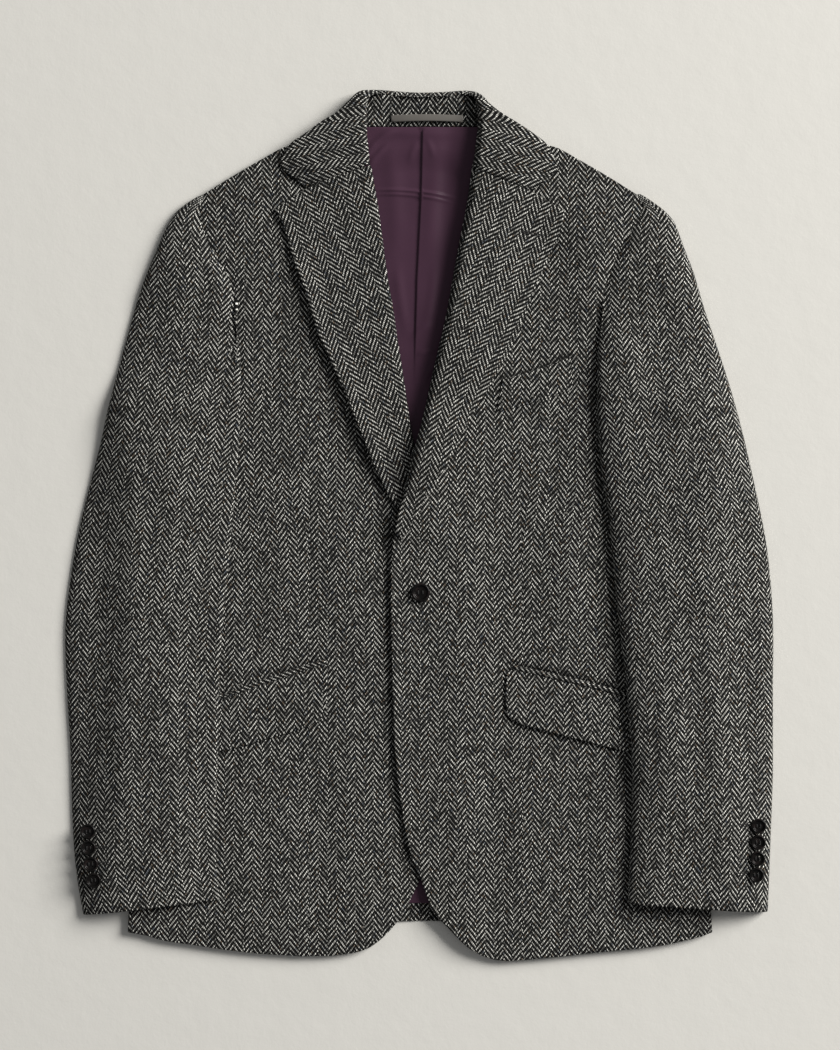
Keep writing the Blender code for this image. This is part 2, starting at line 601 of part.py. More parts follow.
def build_sleeve(name, rows, side):
    """Top sleeve, and the under sleeve that closes it along two hidden seams."""
    grid = [[tuple(p) for p in sleeve_section(row, side)] for row in rows]
    shell("sleeve_top_" + name, grid, thickened(grid, SLEEVE_WALL, -side), TWEED)
    inner_side, outer_side = [], []
    gap = SEAM_GAP + 0.2
    for row in rows:
        inner = Vector((row.inner_x, row.inner_y))
        outer = Vector((row.outer_x, row.outer_y))
        way = (outer - inner).normalized()
        _, inner_lip, outer_lip = lips(row)
        if row.inner_y < UNDERARM_Y - 4.0:
            inner_side.append(inner + way * (SLEEVE_EDGE + inner_lip + gap))
        if row.outer_y < 262.0:
            outer_side.append(outer - way * (SLEEVE_EDGE + outer_lip + gap))
    armhole = [Vector(p) for p in ((209.0, 250.0), (209.0, 210.0), (210.0, 165.0),
                                   (214.0, 131.0), (224.5, 108.0), (228.0, 98.0))]
    outline = [Point(side * p.x, p.y) for p in outer_side + inner_side[::-1] + armhole[::-1]]
    steps = [spaced_line(moved_in(SIDE, lambda p, d=out: -d), 26.0) for out in (10.0, 28.0)]
    lines = [[Point(side * p.x, p.y) for p in step] for step in steps]
    laid_panel("sleeve_under_" + name, outline, 20.0, under_sleeve_height, SLEEVE_WALL,
               TWEED, lines)


# --------------------------------------------------------------------- collar
def collar_height(x, y):
    """Top face of the collar: over the fronts at the sides, over the stand behind."""
    behind = NECK_STEP + COLLAR_WALL + LAYER_GAP + COLLAR_WALL
    side = front_top(x, y, False) + LAYER_GAP + COLLAR_WALL
    share = blend(43.0, 53.0, abs(x)) if y > 380.0 else 1.0
    return behind + (side - behind) * share


def collar_section(row, columns):
    """Outer path of the collar at one station: roll, leaf, turned edge and fall."""
    turn = min(1.0, row.wrap * 3.0)
    rounding, under_edge = 5.0 * turn, []
    roll = Vector((row.roll_x, row.roll_y, 0.0))
    out = Vector((row.out_x, row.out_y, 0.0))
    way = (out - roll).normalized()
    reach = (out - roll).length - rounding
    first = min(4.0, reach * 0.4)
    path = []
    for k in range(9):
        angle = pi / 2 * k / 8
        p = roll + way * first * (1.0 - cos(angle))
        top = collar_height(p.x, p.y)
        path.append(Vector((p.x, p.y, top - row.inner_drop * (1.0 - sin(angle)))))
    for k in range(1, 21):
        p = roll + way * (first + (reach - first) * k / 20)
        path.append(Vector((p.x, p.y, collar_height(p.x, p.y))))
    if row.wrap > 0.0:
        edge = Vector((row.edge_x, row.edge_y, 0.0))
        back = (edge - out).normalized()
        top = path[-1].z
        for k in range(1, 17):
            angle = pi * k / 16
            side = way if angle < pi / 2 else -back
            p = out - side * rounding * (1.0 - sin(angle))
            under_edge.append(Vector((p.x, p.y, top / 2 * (1.0 + cos(angle)))))
        start = out + back * rounding
        under_edge += [start.lerp(edge, k / 10) for k in range(1, 11)]
        kept = max(2, round(len(under_edge) * row.wrap))
        path += under_edge[:kept]
    return spaced_path(path, columns)


def build_collar():
    """The collar leaf in front, running into the fall beneath the back of the neck."""
    stations = smooth_rows(COLLAR, 2)
    grid = [[tuple(p) for p in collar_section(row, 15)] for row in stations]
    shell("collar", grid, thickened(grid, COLLAR_WALL, -1.0), TWEED)


# -------------------------------------------------------------- body and trim
def build_backs():
    """Left and right back, sewn at the centre and lying on the floor."""
    centre = [Point(SEAM_GAP / 2, float(y)) for y in range(372, int(NECK_Y), -8)]
    right = ([Point(SEAM_GAP / 2, -377.0), Point(150.0, -382.0)] + SIDE + BACK_ARMHOLE
             + SHOULDER + BACK_NECK[::-1] + centre)
    for name, outline in (("back_right", right), ("back_left", mirrored(right))):
        laid_panel(name, outline, 34.0, neck_rise, BACK_WALL, TWEED, NECK_LINES)


def build_lining():
    """Back lining, showing in the neck and below the cutaway."""
    laid_panel("lining_back", LINING_OUTLINE, 46.0,
               lambda x, y: LINING_UNDER + neck_rise(x, y), LINING_WALL, LINING, NECK_LINES)


def build_fronts():
    """The upper front on the right and the lower front on the left."""
    over_roll = moved_in(OVER_ROLL, lambda p: -ROLL_CLEARANCE * turn_down(p))
    under_roll = moved_in(UNDER_ROLL, lambda p: ROLL_CLEARANCE * turn_down(p))
    over = (OVER_CUTAWAY + over_roll + OVER_NECK + SHOULDER[::-1] + RIGHT_ARMHOLE[::-1]
            + SIDE[::-1] + OVER_HEM[::-1])
    under = (UNDER_CUTAWAY + under_roll + UNDER_NECK + mirrored(SHOULDER)
             + mirrored(LEFT_ARMHOLE) + mirrored(SIDE) + UNDER_HEM[::-1])
    laid_panel("front_right", over, 24.0, lambda x, y: front_under(x, y, True),
               FRONT_WALL, TWEED, NECK_LINES + rows_beside(OVER_ROLL, -1.0))
    laid_panel("front_left", under, 28.0, lambda x, y: front_under(x, y, False),
               FRONT_WALL, TWEED, NECK_LINES)


def build_lapel(name, roll, leaf, upper):
    """A lapel leaf lying on its front, its roll turned down beside the front's edge."""
    def under(x, y):
        on_leaf = front_top(x, y, upper) + LAPEL_GAP
        turned = turn_down(Point(x, y)) * (FRONT_WALL + LAPEL_GAP)
        share = min(distance(roll, x, y) / 4.2, 1.0)
        return on_leaf - turned * (1.0 - (1.0 - (1.0 - share) ** 2) ** 0.5)

    towards_leaf = -1.0 if upper else 1.0
    lines = [spaced_line(moved_in(roll, lambda p, d=inset: towards_leaf * d), 12.0)
             for inset in (1.4, 4.2)]
    lines += NECK_LINES + rows_beside(roll, towards_leaf)
    laid_panel(name, roll + leaf, 22.0, under, LAPEL_WALL, TWEED, lines)


def build_trim():
    """Pocket flaps, jets, chest welt and hanger loop, each lying on its panel."""
    for name, outline, upper in (("flap_right", RIGHT_FLAP, True),
                                 ("flap_left", LEFT_FLAP, False),
                                 ("jet_right", RIGHT_JET, True),
                                 ("jet_left", LEFT_JET, False),
                                 ("chest_welt", CHEST_WELT, True)):
        laid_panel(name, outline, 20.0,
                   lambda x, y, u=upper: front_top(x, y, u) + LAYER_GAP, TRIM_WALL, TWEED)
    stand_under = NECK_STEP
    laid_panel("collar_stand", STAND_OUTLINE, 16.0, lambda x, y: stand_under,
               COLLAR_WALL, TWEED)
    laid_panel("hanger_loop", LOOP_OUTLINE, 12.0,
               lambda x, y: stand_under + COLLAR_WALL + SEAM_GAP, 1.2, LOOP)


def build_button(name, x, y, z, diameter):
    """A turned button with a raised rim, its foot just above the cloth."""
    radius = diameter / 2
    profile = ((0.80, 0.0), (1.0, 0.30), (1.0, 0.66), (0.90, 1.0), (0.76, 1.0), (0.64, 0.74))
    around = 12
    verts, faces = [placed(x, y, z)], []
    for share, height in profile:
        verts += [placed(x + radius * share * cos(2 * pi * k / around),
                         y + radius * share * sin(2 * pi * k / around),
                         z + BUTTON_HEIGHT * height) for k in range(around)]
    verts.append(placed(x, y, z + BUTTON_HEIGHT * profile[-1][1]))
    for k in range(around):
        nxt = (k + 1) % around
        faces.append((0, 1 + nxt, 1 + k))
        for ring in range(len(profile) - 1):
            a = 1 + ring * around
            faces.append((a + k, a + nxt, a + around + nxt, a + around + k))
        last = 1 + (len(profile) - 1) * around
        faces.append((last + k, last + nxt, len(verts) - 1))
    closed_mesh(name, verts, faces, HORN)


def build_buttons():
    """The front button, and four kissing buttons on each cuff."""
    front = Point(0.6, -64.0)
    build_button("button_front", front.x, front.y,
                 front_top(front.x, front.y, True) + SEAM_GAP, FRONT_BUTTON_DIAMETER)
    cuffs = {"left": points((-309.4, -337.0), (-312.2, -321.6), (-314.3, -306.2),
                            (-315.0, -290.8)),
             "right": points((318.6, -331.4), (319.8, -316.0), (320.6, -300.6),
                             (321.0, -285.2))}
    for side, places in cuffs.items():
        for number, p in enumerate(places, 1):
            build_button(f"button_cuff_{side}_{number}", p.x, p.y,
                         body_cover(p.x, p.y) + SLEEVE_DEPTH + LAYER_GAP + SEAM_GAP,
                         CUFF_BUTTON_DIAMETER)


def main():
    """Clear the scene and build every piece of the jacket."""
    for old in list(bpy.data.objects):
        bpy.data.objects.remove(old, do_unlink=True)
    build_backs()
    build_lining()
    build_fronts()
    build_lapel("lapel_right", OVER_ROLL, OVER_LAPEL, True)
    build_lapel("lapel_left", UNDER_ROLL, UNDER_LAPEL, False)
    build_collar()
    build_sleeve("right", RIGHT_SLEEVE, 1.0)
    build_sleeve("left", LEFT_SLEEVE, -1.0)
    build_trim()
    build_buttons()


main()
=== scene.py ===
"""Herringbone tweed jacket laid flat: its cloth, lining, buttons and sewing.

Sizes in tables are millimetres in the jacket's own plan, x across it and y from
hem to collar. Meshes are in metres. Panels that lie on one another share the
height functions, so each one clears the layer beneath it.
"""

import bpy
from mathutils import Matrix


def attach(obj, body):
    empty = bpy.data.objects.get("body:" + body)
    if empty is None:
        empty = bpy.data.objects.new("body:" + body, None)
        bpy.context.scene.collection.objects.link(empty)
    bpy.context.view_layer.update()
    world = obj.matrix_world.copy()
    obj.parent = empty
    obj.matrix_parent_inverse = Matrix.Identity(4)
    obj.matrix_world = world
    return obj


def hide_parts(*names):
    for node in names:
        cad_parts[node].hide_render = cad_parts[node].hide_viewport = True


bl_info = {
    "name": "Herringbone Jacket",
    "version": (1, 0, 0),
    "blender": (4, 5, 0),
    "location": "3D View > Sidebar > Jacket",
    "description": "Builds the cloth, lining, buttons and sewing of a tweed jacket laid flat",
    "category": "Object",
}

from functools import lru_cache, partial
from math import ceil, cos, pi, radians, sin
from typing import NamedTuple

import bmesh
import bpy
import numpy as np
from bpy.props import FloatProperty, FloatVectorProperty, IntProperty, PointerProperty
from mathutils import Vector
from mathutils.geometry import delaunay_2d_cdt

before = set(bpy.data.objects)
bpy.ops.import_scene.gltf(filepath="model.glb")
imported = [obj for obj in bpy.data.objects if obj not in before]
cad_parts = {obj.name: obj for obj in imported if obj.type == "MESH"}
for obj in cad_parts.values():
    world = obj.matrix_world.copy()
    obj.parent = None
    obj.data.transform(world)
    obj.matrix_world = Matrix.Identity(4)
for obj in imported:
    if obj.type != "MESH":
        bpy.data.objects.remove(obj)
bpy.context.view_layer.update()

MM = 0.001
PIECE = "_piece"           # ends the name of each finished piece
MIDDLE = (-0.75, 0.14)     # plan centre of the jacket, moved to the origin


# ------------------------------------------------------------------- settings
def length(name, text, value, **more):
    """A size in metres, shown as a length."""
    return FloatProperty(name=name, description=text, default=value, subtype="DISTANCE",
                         unit="LENGTH", precision=5, **more)


def colour(name, text, value):
    """A colour, as linear red, green and blue."""
    return FloatVectorProperty(name=name, description=text, default=value, subtype="COLOR",
                               size=3, min=0.0, max=1.0)


def amount(name, text, value, **more):
    """A plain number."""
    return FloatProperty(name=name, description=text, default=value, precision=3, **more)


class JacketCloth(bpy.types.PropertyGroup):
    """Walls and gaps of the cloth layers."""
    back_wall: length("Back wall", "Back cloth with its lining", 0.0024)
    lining_wall: length("Lining wall", "Back lining", 0.0010)
    front_wall: length("Front wall", "Front cloth, canvas and facing", 0.0030)
    lapel_wall: length("Lapel wall", "Lapel cloth and its facing", 0.0030)
    sleeve_wall: length("Sleeve wall", "Sleeve cloth and lining", 0.0024)
    collar_wall: length("Collar wall", "Top collar and under collar", 0.0026)
    trim_wall: length("Trim wall", "Flaps, jets and welt", 0.0022)
    seam_gap: length("Seam gap", "Between pieces sewn edge to edge", 0.0003)
    layer_gap: length("Layer gap", "Between panels that lie on each other", 0.0006)
    lapel_gap: length("Lapel gap", "Under a lapel leaf", 0.0006)
    rim: length("Rim radius", "Rounding of folded cloth edges", 0.0012)
    sleeve_depth: length("Sleeve depth", "Height of the plump sleeve at its middle", 0.0140)
    low_sleeve_depth: length("Low sleeve depth", "Height of the pressed sleeve", 0.0092)
    sleeve_lip: length("Sleeve lip", "How far the top sleeve turns under", 0.024)
    roll_radius: length("Roll radius", "Width of the turn along the lapel roll", 0.0068)
    roll_lift: length("Upper roll lift", "Spring beside the roll on the wearer's left", 0.0092)
    low_roll_lift: length("Lower roll lift", "Spring beside the other roll", 0.0026)
    pitch: length("Mesh pitch", "Point spacing on the body's panels", 0.0052)


class JacketWeave(bpy.types.PropertyGroup):
    """Yarns and pattern of the cloth."""
    column: length("Column", "Width of one herringbone column", 0.0088)
    ends: IntProperty(name="Ends", description="Warp ends in a column", default=8, min=4)
    repeat: length("Repeat", "Height of one twill repeat", 0.0054)
    light: colour("Light yarn", "Off-white warp", (0.74, 0.73, 0.675))
    dark: colour("Dark yarn", "Charcoal weft", (0.0050, 0.0050, 0.0049))
    fleck_warm: colour("Warm fleck", "Brown neps", (0.21, 0.155, 0.105))
    fleck_cool: colour("Cool fleck", "Blue-grey neps", (0.12, 0.14, 0.17))
    relief: length("Relief", "Height of the floats", 0.00030)
    lining: colour("Lining", "Plum satin", (0.058, 0.026, 0.045))
    tape: colour("Tape", "Grey satin hanger loop", (0.135, 0.126, 0.115))


class JacketTrim(bpy.types.PropertyGroup):
    """Buttons and sewing."""
    front_button: length("Front button", "Diameter", 0.018)
    cuff_button: length("Cuff button", "Diameter", 0.0144)
    button_height: length("Button height", "From the cloth to the rim's crest", 0.0036)
    hole: length("Thread hole", "Diameter of a button's holes", 0.0017)
    horn: colour("Horn", "Near-black horn", (0.0050, 0.0046, 0.0044))
    thread: colour("Thread", "Dark sewing thread", (0.020, 0.019, 0.019))
    thread_radius: length("Thread radius", "Buttonhole thread", 0.00028)
    stitch: length("Stitch", "Length of a buttonhole stitch", 0.0020)
    stitch_step: length("Stitch step", "From one stitch to the next", 0.00062)


class JacketStage(bpy.types.PropertyGroup):
    """Floor, light and camera."""
    floor: colour("Floor", "Pale painted floor", (0.70, 0.685, 0.645))
    key: amount("Key power", "Soft light from the upper right, in watts", 1375.0)
    key_size: length("Key size", "Edge of the soft light", 4.4)
    key_azimuth: amount("Key direction", "Degrees from right towards the collar", 28.0)
    key_height: amount("Key height", "Degrees above the floor", 29.0)
    key_distance: length("Key distance", "From the jacket's middle", 9.0)
    fill: amount("Fill", "Strength of the room's even light", 0.215)
    lens: amount("Lens", "Focal length in millimetres", 100.0)
    frame_height: length("Frame height", "Height that the camera takes in", 0.9975)


GROUPS = (("jacket_cloth", JacketCloth), ("jacket_weave", JacketWeave),
          ("jacket_trim", JacketTrim), ("jacket_stage", JacketStage))


def size(group, name):
    """A length setting in millimetres."""
    return getattr(getattr(bpy.context.scene, group), name) / MM


def cloth_size(name):
    """A setting of the cloth's walls and gaps in millimetres."""
    return size("jacket_cloth", name)


# --------------------------------------------------------------------- tables
class Point(NamedTuple):
    """A place in plan."""
    x: float
    y: float


def table(kind, *rows):
    """Rows of numbers as records of one kind."""
    return [kind(*map(float, row)) for row in rows]


def points(*pairs):
    """Plan points from x, y pairs."""
    return table(Point, *pairs)


UNDERARM_Y = 98.0          # where the side seams meet the armholes

# The body's own side, the same for front and back, from hem to underarm.
SIDE = points(
    (278, -387.5), (277, -366), (269, -290), (261, -200), (253, -100), (251, -30), (254, 40),
    (262, UNDERARM_Y))
# Shoulder from the sleeve head to the neck, drawn in under the collar.
SHOULDER = points(
    (206, 314.5), (184, 328.5), (150, 348.3), (140, 354), (132, 358.4), (122, 361), (112, 362.5),
    (103, 366.5), (91, 374), (79, 382), (68.5, 389), (61.5, 395))
# Where the front's own edge stops beside the collar's roll, up to the shoulder.
OVER_NECK = points((55.5, 346), (58, 358), (59.8, 372), (60.6, 385))
UNDER_NECK = points((-53, 348), (-54.8, 358), (-56.2, 372), (-57.5, 385))

# Armholes from the underarm up to the shoulder, all on the right.
RIGHT_ARMHOLE = points(
    (240, 96), (214, 103), (194, 121), (182, 148), (177, 178), (175.5, 197), (173.6, 208),
    (179.6, 236), (187.3, 256.5), (196.2, 274.5), (208, 290.5), (211.6, 301))
LEFT_ARMHOLE = points(
    (240, 96), (214, 103), (194, 121), (182, 148), (177.5, 178), (176.8, 197), (175.6, 208),
    (183.6, 238), (196.3, 259.5), (207.3, 281.5), (210.3, 302))
BACK_ARMHOLE = points(
    (240, 96), (222, 106), (212, 130), (208, 165), (207, 210), (207.5, 260), (207.5, 290))

# Edge of the under sleeve along the back's armhole, down to the underarm.
UNDER_ARMHOLE = points((228, 98), (224.5, 108), (214, 131), (210, 165), (209, 210), (209, 250))

# Free edge of the front that laps over, from the cutaway up to the lapel.
OVER_CUTAWAY = points(
    (72, -414), (58, -409.5), (47, -403), (35, -392), (23, -379), (15, -372), (8.6, -359),
    (4, -346), (0, -334), (-5.7, -323), (-12.4, -299), (-19, -261), (-24, -214), (-26, -166),
    (-27, -119), (-28, -71), (-27.6, -33), (-25.5, -14))
OVER_HEM = points(
    (83, -415), (104.5, -413.5), (141, -410), (177, -406), (209, -403), (244, -397.5),
    (268, -391.5))
UNDER_CUTAWAY = points(
    (-86, -410), (-68, -408), (-51, -404), (-38, -395), (-28, -385.5), (-16, -369), (-6, -350),
    (0, -337), (8, -315), (17, -283), (24, -240), (27, -185), (28, -100), (26, -45), (22, -15),
    (15, 6))
UNDER_HEM = points(
    (-114, -410.4), (-162.5, -407), (-194, -403), (-223, -398.5), (-242, -396), (-259, -391))

# Roll lines, where the lapels and collar fold back, from the button up to the gorge.
OVER_ROLL = points(
    (-24, -7), (-20.6, 12), (-14.6, 32), (-7.3, 64), (5.7, 115), (12, 145), (25, 200.5), (31, 234),
    (37, 268), (44, 302), (49, 338))
UNDER_ROLL = points(
    (4.5, 20), (2, 40), (-2, 60), (-7.6, 87), (-15.6, 141), (-21, 175), (-26, 209), (-30.4, 234),
    (-35, 268), (-39, 298), (-46.5, 341.5))
# Lapel leaves from the gorge, round the point and down the edge to the button.
OVER_LAPEL = points(
    (50.4, 337.5), (53.2, 336.4), (82, 325.8), (105, 317), (137.3, 297.4), (134, 282),
    (127.6, 265), (120, 249), (113, 233), (107, 219), (98, 194), (85.5, 166), (74, 145), (63, 126),
    (52, 110), (40, 86.5), (25, 57), (11, 32), (-4, 9), (-12, -8), (-19, -14))
UNDER_LAPEL = points(
    (-47.9, 341), (-50.7, 340.1), (-82, 330.2), (-107, 320.2), (-138.7, 300), (-134, 294.5),
    (-129, 281), (-124.5, 267), (-119, 247), (-111.5, 229), (-104, 204), (-98, 185), (-83, 151),
    (-73, 129), (-63, 104), (-52, 77), (-43, 54), (-33, 34), (-22, 15), (-12, 8), (0, 9))


class SleeveRow(NamedTuple):
    """One station across a sleeve, mirrored on the left: inner and outer edge."""
    inner_x: float
    inner_y: float
    outer_x: float
    outer_y: float


RIGHT_SLEEVE = table(SleeveRow, *(
    (207.5, 315, 213.5, 313), (214, 302, 232, 300), (209, 289, 243, 287), (197, 274, 249, 270),
    (188.3, 256, 256, 252), (180.5, 236, 262, 236), (174.5, 208, 270, 208), (170, 181, 279, 181),
    (168, 142, 292, 142), (168, 106, 302, 106), (170, 74, 310, 76), (173, 43, 317, 45),
    (179, 11, 324, 13), (181.5, -20, 330, -18), (186, -67, 335, -67), (190.5, -109, 336.5, -109),
    (194.5, -140, 336, -140), (196.5, -170, 336, -170), (200, -207, 336, -207),
    (201.5, -240, 336, -240), (200.5, -291, 334, -292), (198.5, -330, 332.5, -333),
    (197.5, -358, 331, -367)))
LEFT_SLEEVE = table(SleeveRow, *(
    (207.5, 314, 213, 312), (211.5, 302, 231, 300), (208.3, 281, 243, 281), (197.3, 259, 251, 262),
    (184.5, 238, 259, 243), (177.4, 214, 267, 222), (173, 179, 276, 190), (170, 150, 284, 161),
    (171, 116, 293, 126), (171.3, 98, 298.5, 104), (172, 74, 303, 82), (175, 43, 312, 48),
    (179, -5, 324, 0), (182, -41, 331, -38), (187, -90, 338, -90), (189.5, -130, 337.5, -131),
    (191, -163, 336, -165), (191.6, -195, 334, -197), (192, -221, 332.5, -225),
    (194, -265, 331.5, -270), (194.5, -318, 328.5, -325), (190, -355, 320.5, -370)))


class CollarRow(NamedTuple):
    """One station along the collar, from its roll out, over the edge and under."""
    roll_x: float
    roll_y: float
    out_x: float           # leaf edge in front, silhouette round the neck
    out_y: float
    edge_x: float          # fall edge beneath the jacket
    edge_y: float
    wrap: float            # how much of the way under the cloth goes, 0 to 1
    inner_drop: float      # how far the roll's inner edge turns down


# From the left gorge, over the back of the neck, to the right gorge.
COLLAR = table(CollarRow, *(
    (-47.5, 342.8, -107.4, 321.2, -107, 326, 0, 3.6), (-48.2, 351, -129, 337.5, -125, 340, 0, 3.6),
    (-49, 358, -131.5, 346.5, -127, 348, 0, 3.6), (-50, 367, -124, 362, -117, 357, 0.2, 3.6),
    (-50.5, 377, -110, 372, -102, 361, 0.8, 3), (-50.8, 387, -95, 383, -84, 363, 1, 2.8),
    (-50.6, 395.5, -81, 391.5, -68, 365, 1, 2.4), (-49.8, 402, -69, 402.5, -52, 366, 1, 2),
    (-46, 408, -57.5, 412.5, -38, 366, 1, 0.5), (-38, 409.6, -41.5, 414.2, -28, 366, 1, 0),
    (-22, 408.6, -22.5, 412.8, -15, 366, 1, 0), (0, 407.4, 0, 411.6, 0, 366, 1, 0),
    (24, 408.2, 24.5, 412.3, 16, 366, 1, 0), (42, 409.2, 45, 413.4, 30, 366, 1, 0),
    (50.5, 406.4, 57.5, 409.6, 40, 366, 1, 0.5), (53.8, 399, 68, 399, 53, 366, 1, 2),
    (54.6, 392, 79, 390.5, 67, 365, 1, 2.4), (55, 384, 92, 382.5, 82, 363, 1, 2.8),
    (54.6, 375, 108, 372, 100, 361, 0.8, 3), (53.3, 366, 121, 361.5, 114, 357, 0.2, 3.6),
    (52.4, 358, 127, 348.5, 123, 349, 0, 3.6), (51.6, 350.5, 129, 336, 125, 340, 0, 3.6),
    (49, 338.7, 105.2, 317.3, 105, 322, 0, 3.6)))
COLLAR_FALL = points(
    (-124, 363), (-96, 346), (-60, 352), (-25, 360), (0, 362), (25, 360), (60, 352), (94, 346),
    (122, 362), (92, 382), (60, 409), (0, 412), (-60, 409), (-92, 382))

# Pocket pieces: flaps hang from their jets, the welt stands at the chest.
RIGHT_FLAP = points(
    (82.7, -139), (81.7, -174), (83.6, -181), (90, -186), (122.6, -196.5), (155, -205),
    (192, -214), (222, -219), (226.5, -213), (229, -171.5), (192, -162.8), (155, -153.3),
    (122.6, -145.8), (87.4, -137.8))
LEFT_FLAP = points(
    (-87.5, -133.6), (-90, -174), (-92, -182), (-99, -188), (-127, -198), (-161, -208),
    (-189, -215), (-226, -222), (-231, -216), (-233.5, -173.5), (-183, -164.4), (-164, -157.3),
    (-144, -150.4), (-127, -144.5), (-109, -138.1), (-91, -132.7))
RIGHT_JET = points(
    (87, -132.8), (87.2, -137.2), (122.4, -145.3), (154.8, -152.8), (191.8, -162.3), (227, -170.6),
    (228, -166.2), (192, -157.6), (155, -148.2), (122.6, -140.6))
LEFT_JET = points(
    (-89.5, -127.6), (-109, -133.3), (-127, -139.7), (-144, -145.5), (-164, -152.4),
    (-183, -159.5), (-232, -168.6), (-232.8, -173), (-183.2, -163.9), (-164.2, -156.8),
    (-144.2, -149.9), (-127.2, -144), (-109.2, -137.6), (-90, -132))
CHEST_WELT = points(
    (73, 108), (97, 113.5), (121, 120.5), (145, 129), (143, 159.5), (121, 151), (99, 143.5),
    (78, 138))

# Slots pressed into the fronts and darkened with painted shade: above the welt and above each
# flap's jet.
MOUTHS = {
    "right": [points((76.0, 139.4), (99.0, 145.2), (121.0, 152.7), (143.0, 161.4)),
              points((86.5, -131.9), (122.6, -139.8), (155.0, -147.4), (192.0, -156.8),
                     (226.0, -164.8))],
    "left": [points((-89.3, -126.8), (-109.0, -132.5), (-127.0, -138.9), (-144.0, -144.7),
                    (-164.0, -151.6), (-183.0, -158.7), (-230.0, -167.4))]}

LINING_OUTLINE = points(
    (-240, -362), (0, -360), (240, -362), (240, -200), (236, 60), (196, 110), (196, 280),
    (150, 320), (100, 345), (70, 366), (55.5, 378.6), (0, 378.6), (-53, 378.6), (-70, 366),
    (-100, 345), (-150, 320), (-196, 280), (-196, 110), (-236, 60), (-240, -200))
STAND_OUTLINE = points(
    (-56.8, 379.3), (-30, 379), (0, 379), (30, 379), (57.2, 379.3), (56.8, 392), (55, 400),
    (49.5, 406), (42, 408.7), (24, 407.8), (0, 407), (-22, 408.2), (-38, 409.2), (-45, 407.6),
    (-53, 401), (-56.4, 392))
BACK_NECK = points((0.15, 378.4), (30, 378.4), (58.4, 378.6), (60.6, 385))
LOOP_OUTLINE = points(
    (-27.5, 383.2), (6, 383.8), (41, 383.2), (41, 389.8), (6, 390.4), (-27.5, 389.8))


class Fold(NamedTuple):
    """A soft ridge (or trough, where height is negative) along a bowed line."""
    x0: float
    y0: float
    x1: float
    y1: float
    bow: float             # sideways bend at its middle, to the left of its run
    width: float
    height: float


# Swells of the body that every layer on it shares, all of them ridges.
BODY_FOLDS = table(Fold, *(
    (66, 226, 40, 40, 10, 30, 2.6), (100, 90, 60, -40, -8, 26, 1.7),
    (150, 60, 128, -110, 10, 22, 1.5), (58, -60, 52, -250, 6, 24, 1.6),
    (120, -230, 112, -400, -6, 20, 2), (28, -230, 62, -392, 4, 18, 1.7),
    (182, -225, 176, -396, 5, 17, 1.6), (146, 150, 152, 40, 4, 15, 1.4),
    (154, 250, 120, 330, 5, 20, 1.2), (30, -64, 130, -30, 8, 9, 0.8),
    (-70, 250, -40, 60, -10, 28, 2.2), (-112, 250, -118, 60, 8, 24, 1.9),
    (-66, 20, -58, -150, -8, 24, 1.8), (-140, 40, -134, -100, 6, 20, 1.5),
    (-160, 230, -162, 80, -5, 16, 1.5), (-70, -210, -78, -396, 6, 20, 2),
    (-128, -230, -122, -398, -5, 17, 1.5), (-176, -232, -168, -396, 4, 15, 1.6),
    (-34, -200, -30, -330, -6, 14, 1.2), (-24, -60, -120, -20, -9, 9, 0.7),
    (-130, 330, -170, 290, -4, 18, 1), (86, -360, 240, -352, -8, 12, 0.7),
    (-86, -372, -220, -362, 8, 12, 0.7), (214, -250, 222, -380, 3, 13, 1.1),
    (-214, -250, -220, -380, -3, 13, 1.1), (-182, -60, -176, -190, 3, 13, 1.1),
    (90, -215, 86, -392, 3, 14, 1.6), (136, 10, 142, -110, 3, 13, 1.4),
    (119, 100, 116, 150, 0, 13, 2.2)))

# Creases of the sleeves, each on its own side.
SLEEVE_FOLDS = table(Fold, *(
    (196, 66, 262, 92, 10, 9, -1.7), (188, 96, 250, 138, 12, 10, -1.4),
    (200, 40, 286, 34, 8, 14, 1.5), (210, 0, 300, -24, -10, 12, -1.6),
    (205, -36, 312, -64, -12, 13, 1.2), (214, -78, 318, -98, -6, 11, -1.2),
    (238, 200, 262, 60, -8, 20, 1.6), (216, 170, 222, 60, 6, 12, -1.2),
    (226, -140, 232, -330, 6, 17, 1.5), (288, -120, 286, -300, -6, 18, 1.1),
    (204, -196, 280, -212, -8, 10, -0.9), (240, -262, 320, -250, 7, 11, -0.8),
    (228, 262, 246, 200, -5, 12, 1.2), (206, 262, 214, 190, -4, 6, -0.9),
    (-196, 74, -262, 98, -9, 9, -1.6), (-186, 110, -240, 150, -12, 10, -1.3),
    (-204, 44, -284, 30, -7, 15, 1.3), (-214, 6, -300, -30, 9, 12, -1.5),
    (-208, -44, -306, -80, 12, 12, 1.2), (-216, -96, -322, -108, 6, 11, -1.1),
    (-232, 196, -266, 50, 8, 22, 1.5), (-214, 176, -220, 66, -6, 11, -1.1),
    (-224, -150, -228, -340, -6, 16, 1.4), (-284, -130, -280, -310, 7, 20, 1.2),
    (-206, -206, -270, -226, 8, 10, -0.9), (-240, -284, -310, -268, -6, 10, -0.8),
    (-228, 258, -244, 196, 5, 12, 1.1), (-204, 256, -212, 186, 4, 6, -0.9)))

# Centre pleat of the back lining, from the neck down.
LINING_PLEAT = points((2.4, 377), (1, 313), (-3, 234), (-5, 158))

